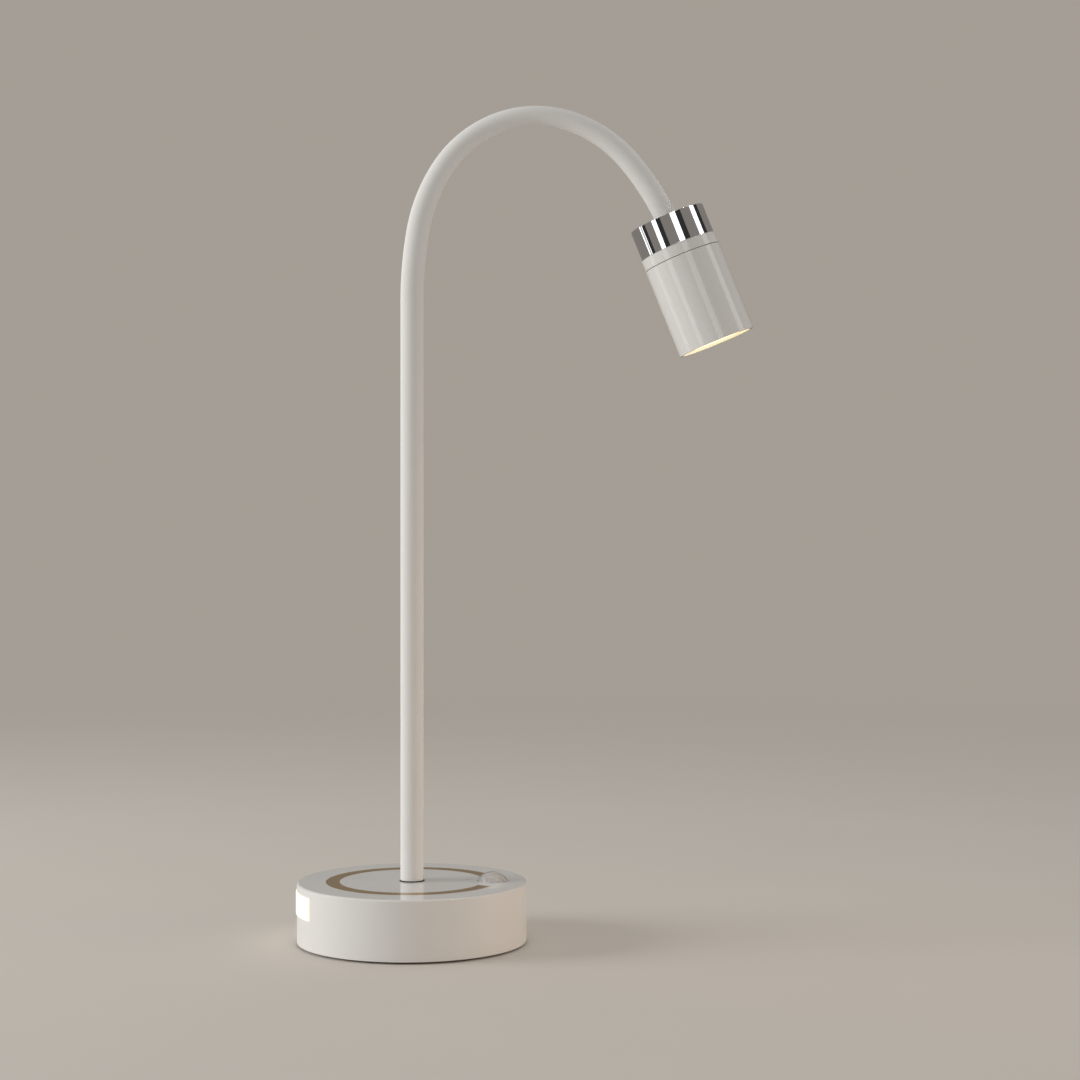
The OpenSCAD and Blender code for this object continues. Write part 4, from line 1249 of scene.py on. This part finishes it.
# %% Softened parts
for node, width in (("ballast", 0.4), ("main_board", 0.08), ("night_light_board", 0.08), ("led_board", 0.1),
                    ("usb_c_port", 0.05), ("mode_switch_body", 0.15), ("mode_switch_slider", 0.25),
                    ("base_ferrule", 0.12), ("head_ferrule", 0.12), ("base_lock_nut", 0.3),
                    ("head_lock_nut", 0.3),
                    ("heat_sink", 0.15)):
    finish_edges(node, width)
mesh = soften(as_mesh("battery_soft", welded("battery")), 1.3, segments=5)
new_piece(mesh.name, mesh, "cell_foil", ["battery"], "base")

# %% [markdown]
# The switch knob has five grip ribs across its face, and the port's tongue has twelve contacts
# on each side. Both are rows of one small body, so one tree serves both.

# %% Rows of small bars
bar_tree, given = new_tree("bars", {
    "Start": ("Vector", (0, 0, 0)), "Step": ("Vector", (0.001, 0, 0)), "Count": ("Int", 5),
    "Size": ("Vector", (0.001, 0.001, 0.001)), "Material": ("Material", None)})
tree = bar_tree
row = add(tree, "GeometryNodeMeshLine", {"Count": given["Count"], "Start Location": given["Start"],
                                         "Offset": given["Step"]}).outputs["Mesh"]
bar = add(tree, "GeometryNodeMeshCube", {"Size": given["Size"]}).outputs["Mesh"]
end_tree(tree, add(tree, "GeometryNodeInstanceOnPoints",
                   {"Points": row, "Instance": bar}).outputs["Instances"],
         given["Material"])


def bars(name, start, step, count, extent, width, slot, node, body, look=None):
    mesh = grow(name, bar_tree, {"Start": tuple(start), "Step": tuple(step), "Count": count,
                                 "Size": tuple(extent),
                                 "Material": finishes[look or slot]})
    mesh = soften(mesh, width)
    new_piece(name, mesh, slot, [node], body, look)


knob_low, knob_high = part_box("mode_switch_slider")
knob_middle = (knob_low + knob_high) / 2
RIBS = 5
KNOB_W = 2.6 * MM
rib_step = KNOB_W / RIBS
bars("switch_ribs", (knob_middle.x - rib_step * (RIBS - 1) / 2, knob_high.y, knob_middle.z),
     (rib_step, 0, 0), RIBS,
     (rib_step * 0.45, 0.3 * MM, 2.0 * MM), 0.06, "switch_knob", "mode_switch_slider",
     body_of["mode_switch_slider"])
port_low, port_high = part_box("usb_c_port")
port_middle = (port_low + port_high) / 2
CONTACTS = 12
CONTACT_STEP = 0.5 * MM
TONGUE_T = 0.7 * MM
for side in (-1, 1):
    bars("port_contacts_upper" if side > 0 else "port_contacts_lower",
         (port_middle.x - CONTACT_STEP * (CONTACTS - 1) / 2, port_high.y - 2.9 * MM,
          port_middle.z + side * TONGUE_T / 2),
         (CONTACT_STEP, 0, 0), CONTACTS, (0.25 * MM, 3.6 * MM, 0.08 * MM), 0.02, "steel", "usb_c_port",
         "base", "bronze")
print("switch ribs and port contacts ready")

# %% [markdown]
# ## Light source
# The chip is a round plate with a raised dam and a slightly domed phosphor inside it. The
# reflector round it is a thin spun cup whose wall follows a parabola.

# %% Chip and reflector
chip_low, chip_high, chip_r = measure("led_chip", head_top, head_axis)
DAM_W = 0.5 * MM
section = [(0.0, chip_low), (chip_r, chip_low), (chip_r, chip_high - 0.35 * MM),
           (chip_r - 0.5 * MM, chip_high - 0.35 * MM),
           (chip_r - 0.55 * MM, chip_high), (chip_r - 0.55 * MM - DAM_W, chip_high),
           (chip_r - 1.1 * MM, chip_high - 0.3 * MM)]
section += [((chip_r - 1.1 * MM) * math.cos(math.pi / 2 * i / 6),
             chip_high - 0.3 * MM + 0.25 * MM * math.sin(math.pi / 2 * i / 6))
            for i in range(1, 7)]
mesh = turned("led_chip_domed", section, head_top, head_axis, 64)
new_piece(mesh.name, mesh, "led_yellow", ["led_chip"], "head")
cup_low, cup_high, cup_r = measure("reflector", head_top, head_axis)
THROAT_R = 6.6 * MM
CUP_WALL = 0.8 * MM


def cup_radius(share):
    straight = THROAT_R + (cup_r - CUP_WALL - THROAT_R) * share
    return straight + 0.9 * MM * math.sin(math.pi * share) * share


steps = [i / 14 for i in range(15)]
foot_h = 1.2 * MM
inside = [(cup_radius(t), cup_low + foot_h + (cup_high - cup_low - foot_h) * t) for t in steps]
outside = [(min(cup_radius(t) + CUP_WALL, cup_r), z) for t, (r, z) in zip(steps, inside)]
section = [(THROAT_R, cup_low)] + inside + outside[::-1] + [(THROAT_R + CUP_WALL, cup_low)]
mesh = turned("reflector_spun", section, head_top, head_axis, 128)
new_piece(mesh.name, mesh, "reflector_mirror", ["reflector"], "head")
print("reflector", round((cup_high - cup_low) / MM, 1), "mm deep")

# %% [markdown]
# ## Floor, backdrop and light
# The lamp stands on a plain pale floor that fades into an equally pale surround, lit by a large
# soft light from the left, a weaker one from the right and a soft one from above. Polished
# metal shows what surrounds it, so upright bright strips and dark flags stand around the lamp
# like the reflectors in a studio. Only reflected rays see them.

# %% Surround
BACKDROP = (0.375, 0.340, 0.302, 1.0)
world = bpy.data.worlds.new("surround")
world.use_nodes = True
scene.world = world
tree = world.node_tree
tree.nodes.clear()
rays = add(tree, "ShaderNodeLightPath").outputs
seen = calc(tree, "MAXIMUM", rays["Is Camera Ray"],
            calc(tree, "MAXIMUM", rays["Is Glossy Ray"], rays["Is Transmission Ray"]))
plain = add(tree, "ShaderNodeBackground", {"Color": BACKDROP, "Strength": 1.0}).outputs[0]
ambient = add(tree, "ShaderNodeBackground", {"Color": (1.0, 0.985, 0.955, 1.0), "Strength": 0.39}).outputs[0]
both_sides = add(tree, "ShaderNodeMixShader", {0: seen, 1: ambient, 2: plain}).outputs[0]
add(tree, "ShaderNodeOutputWorld", {"Surface": both_sides})
print("surround ready")

# %% Floor
FLOOR_R = 3.0
disc = bmesh.new()
bmesh.ops.create_circle(disc, cap_ends=True, radius=FLOOR_R, segments=128)
floor_mesh = bpy.data.meshes.new("floor")
disc.to_mesh(floor_mesh)
disc.free()
floor = bpy.data.objects.new("floor", floor_mesh)
scene.collection.objects.link(floor)
material = bpy.data.materials.new("floor")
material.use_nodes = True
tree = material.node_tree
shader = tree.nodes["Principled BSDF"]
shader.inputs["Roughness"].default_value = 0.9
shader.inputs["Specular IOR Level"].default_value = 0.0
place = add(tree, "ShaderNodeTexCoord").outputs["Object"]
mottle = add(tree, "ShaderNodeTexNoise", {"Vector": place, "Scale": 12.0}).outputs["Fac"]
put(tree, shader.inputs["Base Color"], mixed(tree, mottle, (0.68, 0.64, 0.59, 1.0), (0.70, 0.66, 0.61, 1.0)))
away = map_range(tree, vector_calc(tree, "LENGTH", place), 0.0, 1.0, 0.45, 1.5)
clear = add(tree, "ShaderNodeBsdfTransparent").outputs[0]
faded = add(tree, "ShaderNodeMixShader", {0: away, 1: shader.outputs[0], 2: clear}).outputs[0]
put(tree, tree.nodes["Material Output"].inputs["Surface"], faded)
floor_mesh.materials.append(material)
print("floor radius", FLOOR_R, "m")

# %% [markdown]
# ## Soft lights
# A large key stands on the left and a weak warm fill on the right. A small low lamp warms the
# right of the base, and a wide one hangs overhead. None of them shows in a reflection, because
# the screen that follows is made for that.

# %% Soft lights
AIM = Vector((0.03, 0, 0.16))


def soft_light(name, place, size, watts, colour, aim=AIM, spread=180):
    data = bpy.data.lights.new(name, "AREA")
    data.shape = "DISK"
    data.size = size
    data.energy = watts
    data.color = colour
    data.spread = math.radians(spread)
    light = bpy.data.objects.new(name, data)
    light.location = place
    light.rotation_euler = (Vector(place) - Vector(aim)).to_track_quat("Z", "Y").to_euler()
    light.visible_glossy = False
    scene.collection.objects.link(light)


soft_light("key", (-1.75, -0.25, 0.5), 1.0, 21.0, (1.0, 0.99, 0.975))
soft_light("fill", (1.4, -0.5, 0.45), 1.0, 2.4, (1.0, 0.94, 0.88))
soft_light("low", (0.62, -0.17, 0.07), 0.3, 0.07, (1.0, 0.60, 0.28), (0.0, 0.0, 0.02), 50)
soft_light("top", (0.1, 0.2, 1.7), 1.4, 3.4, (1.0, 0.99, 0.97))

# %% [markdown]
# ## Soft boxes and flags for the reflections
# Polished metal shows nothing but its surroundings, so it needs something to reflect. A round
# screen stands about the lamp and carries equal sets, each of open room, a soft box, a dark flag
# and open room again, a quarter each. They are evenly spaced round the front, and the back is left
# open, because a soft box behind a glossy piece draws a hard white line round its outline.
# Only reflected rays see the screen, so it adds no light of its own to a matt surface.

# %% Reflection screen
SCREEN_R = 0.55
SCREEN_TOP = 1.3
SETS = 6
FRONT = math.radians(120)
BOX_LEVEL = 1.8
ROOM = (0.22, 0.20, 0.18)
FLAG = (0.03, 0.03, 0.03)


def glossy_only(panel):
    for ray in ("camera", "diffuse", "transmission", "volume_scatter", "shadow"):
        setattr(panel, "visible_" + ray, False)


wall = bmesh.new()
SIDES = 144
corners = [(SCREEN_R * math.cos(2 * math.pi * i / SIDES), SCREEN_R * math.sin(2 * math.pi * i / SIDES))
           for i in range(SIDES)]
feet = [wall.verts.new((x, y, 0.0)) for x, y in corners]
heads = [wall.verts.new((x, y, SCREEN_TOP)) for x, y in corners]
for i in range(SIDES):
    k = (i + 1) % SIDES
    wall.faces.new((feet[i], heads[i], heads[k], feet[k]))
mesh = bpy.data.meshes.new("reflection_screen")
wall.to_mesh(mesh)
wall.free()
screen = bpy.data.objects.new("reflection_screen", mesh)
scene.collection.objects.link(screen)
glossy_only(screen)
material = bpy.data.materials.new("reflection_screen")
material.use_nodes = True
tree = material.node_tree
tree.nodes.clear()
place = add(tree, "ShaderNodeTexCoord").outputs["Object"]
own = add(tree, "ShaderNodeSeparateXYZ", {"Vector": place}).outputs
turn = calc(tree, "ARCTAN2", own["X"], calc(tree, "MULTIPLY", own["Y"], -1.0))
share = calc(tree, "FRACT", calc(tree, "MULTIPLY", turn, SETS / (2 * math.pi)))
quarter = calc(tree, "FLOOR", calc(tree, "MULTIPLY", share, 4.0))
in_front = calc(tree, "LESS_THAN", calc(tree, "ABSOLUTE", turn), FRONT)
is_box = calc(tree, "MULTIPLY", calc(tree, "COMPARE", quarter, 1.0, 0.5), in_front)
is_flag = calc(tree, "MULTIPLY", calc(tree, "COMPARE", quarter, 2.0, 0.5), in_front)


def share_of_box(colour):
    return tuple(channel / BOX_LEVEL for channel in colour) + (1.0,)


shaded = mixed(tree, is_flag, share_of_box(ROOM), share_of_box(FLAG))
panel_colour = mixed(tree, is_box, shaded, (1.0, 1.0, 1.0, 1.0))
glow = add(tree, "ShaderNodeEmission", {"Color": panel_colour, "Strength": BOX_LEVEL})
add(tree, "ShaderNodeOutputMaterial", {"Surface": glow.outputs[0]})
# The screen is found by reflected rays alone, so matt surfaces spend no samples on it
material.cycles.emission_sampling = "NONE"
mesh.materials.append(material)
print("reflection screen: sets every", 360 // SETS, "degrees, back open")

# %% [markdown]
# Two small lamps high on the right put the pair of sparks on the sensor's lens. Like the screen,
# only reflected rays see them.

# %% Sparks
SPARK_R = 0.035
SPARK_LEVEL = 90.0
SPARK_REACH = 1.2
material = bpy.data.materials.new("spark")
material.use_nodes = True
tree = material.node_tree
tree.nodes.clear()
glow = add(tree, "ShaderNodeEmission", {"Color": (1.0, 0.86, 0.66, 1.0), "Strength": SPARK_LEVEL})
add(tree, "ShaderNodeOutputMaterial", {"Surface": glow.outputs[0]})
for name, aim in (("spark_back", Vector((0.31, 0.19, 0.93))), ("spark_front", Vector((0.33, -0.19, 0.93)))):
    disc = bmesh.new()
    turn = aim.to_track_quat("Z", "Y").to_matrix().to_4x4()
    bmesh.ops.create_circle(disc, cap_ends=True, radius=SPARK_R, segments=24,
                            matrix=Matrix.Translation(lens_middle + aim.normalized() * SPARK_REACH) @ turn)
    mesh = bpy.data.meshes.new(name)
    disc.to_mesh(mesh)
    disc.free()
    mesh.materials.append(material)
    spark = bpy.data.objects.new(name, mesh)
    scene.collection.objects.link(spark)
    glossy_only(spark)
print("sparks ready")

# %% Remove the neck's line
bpy.data.objects.remove(neck_line)
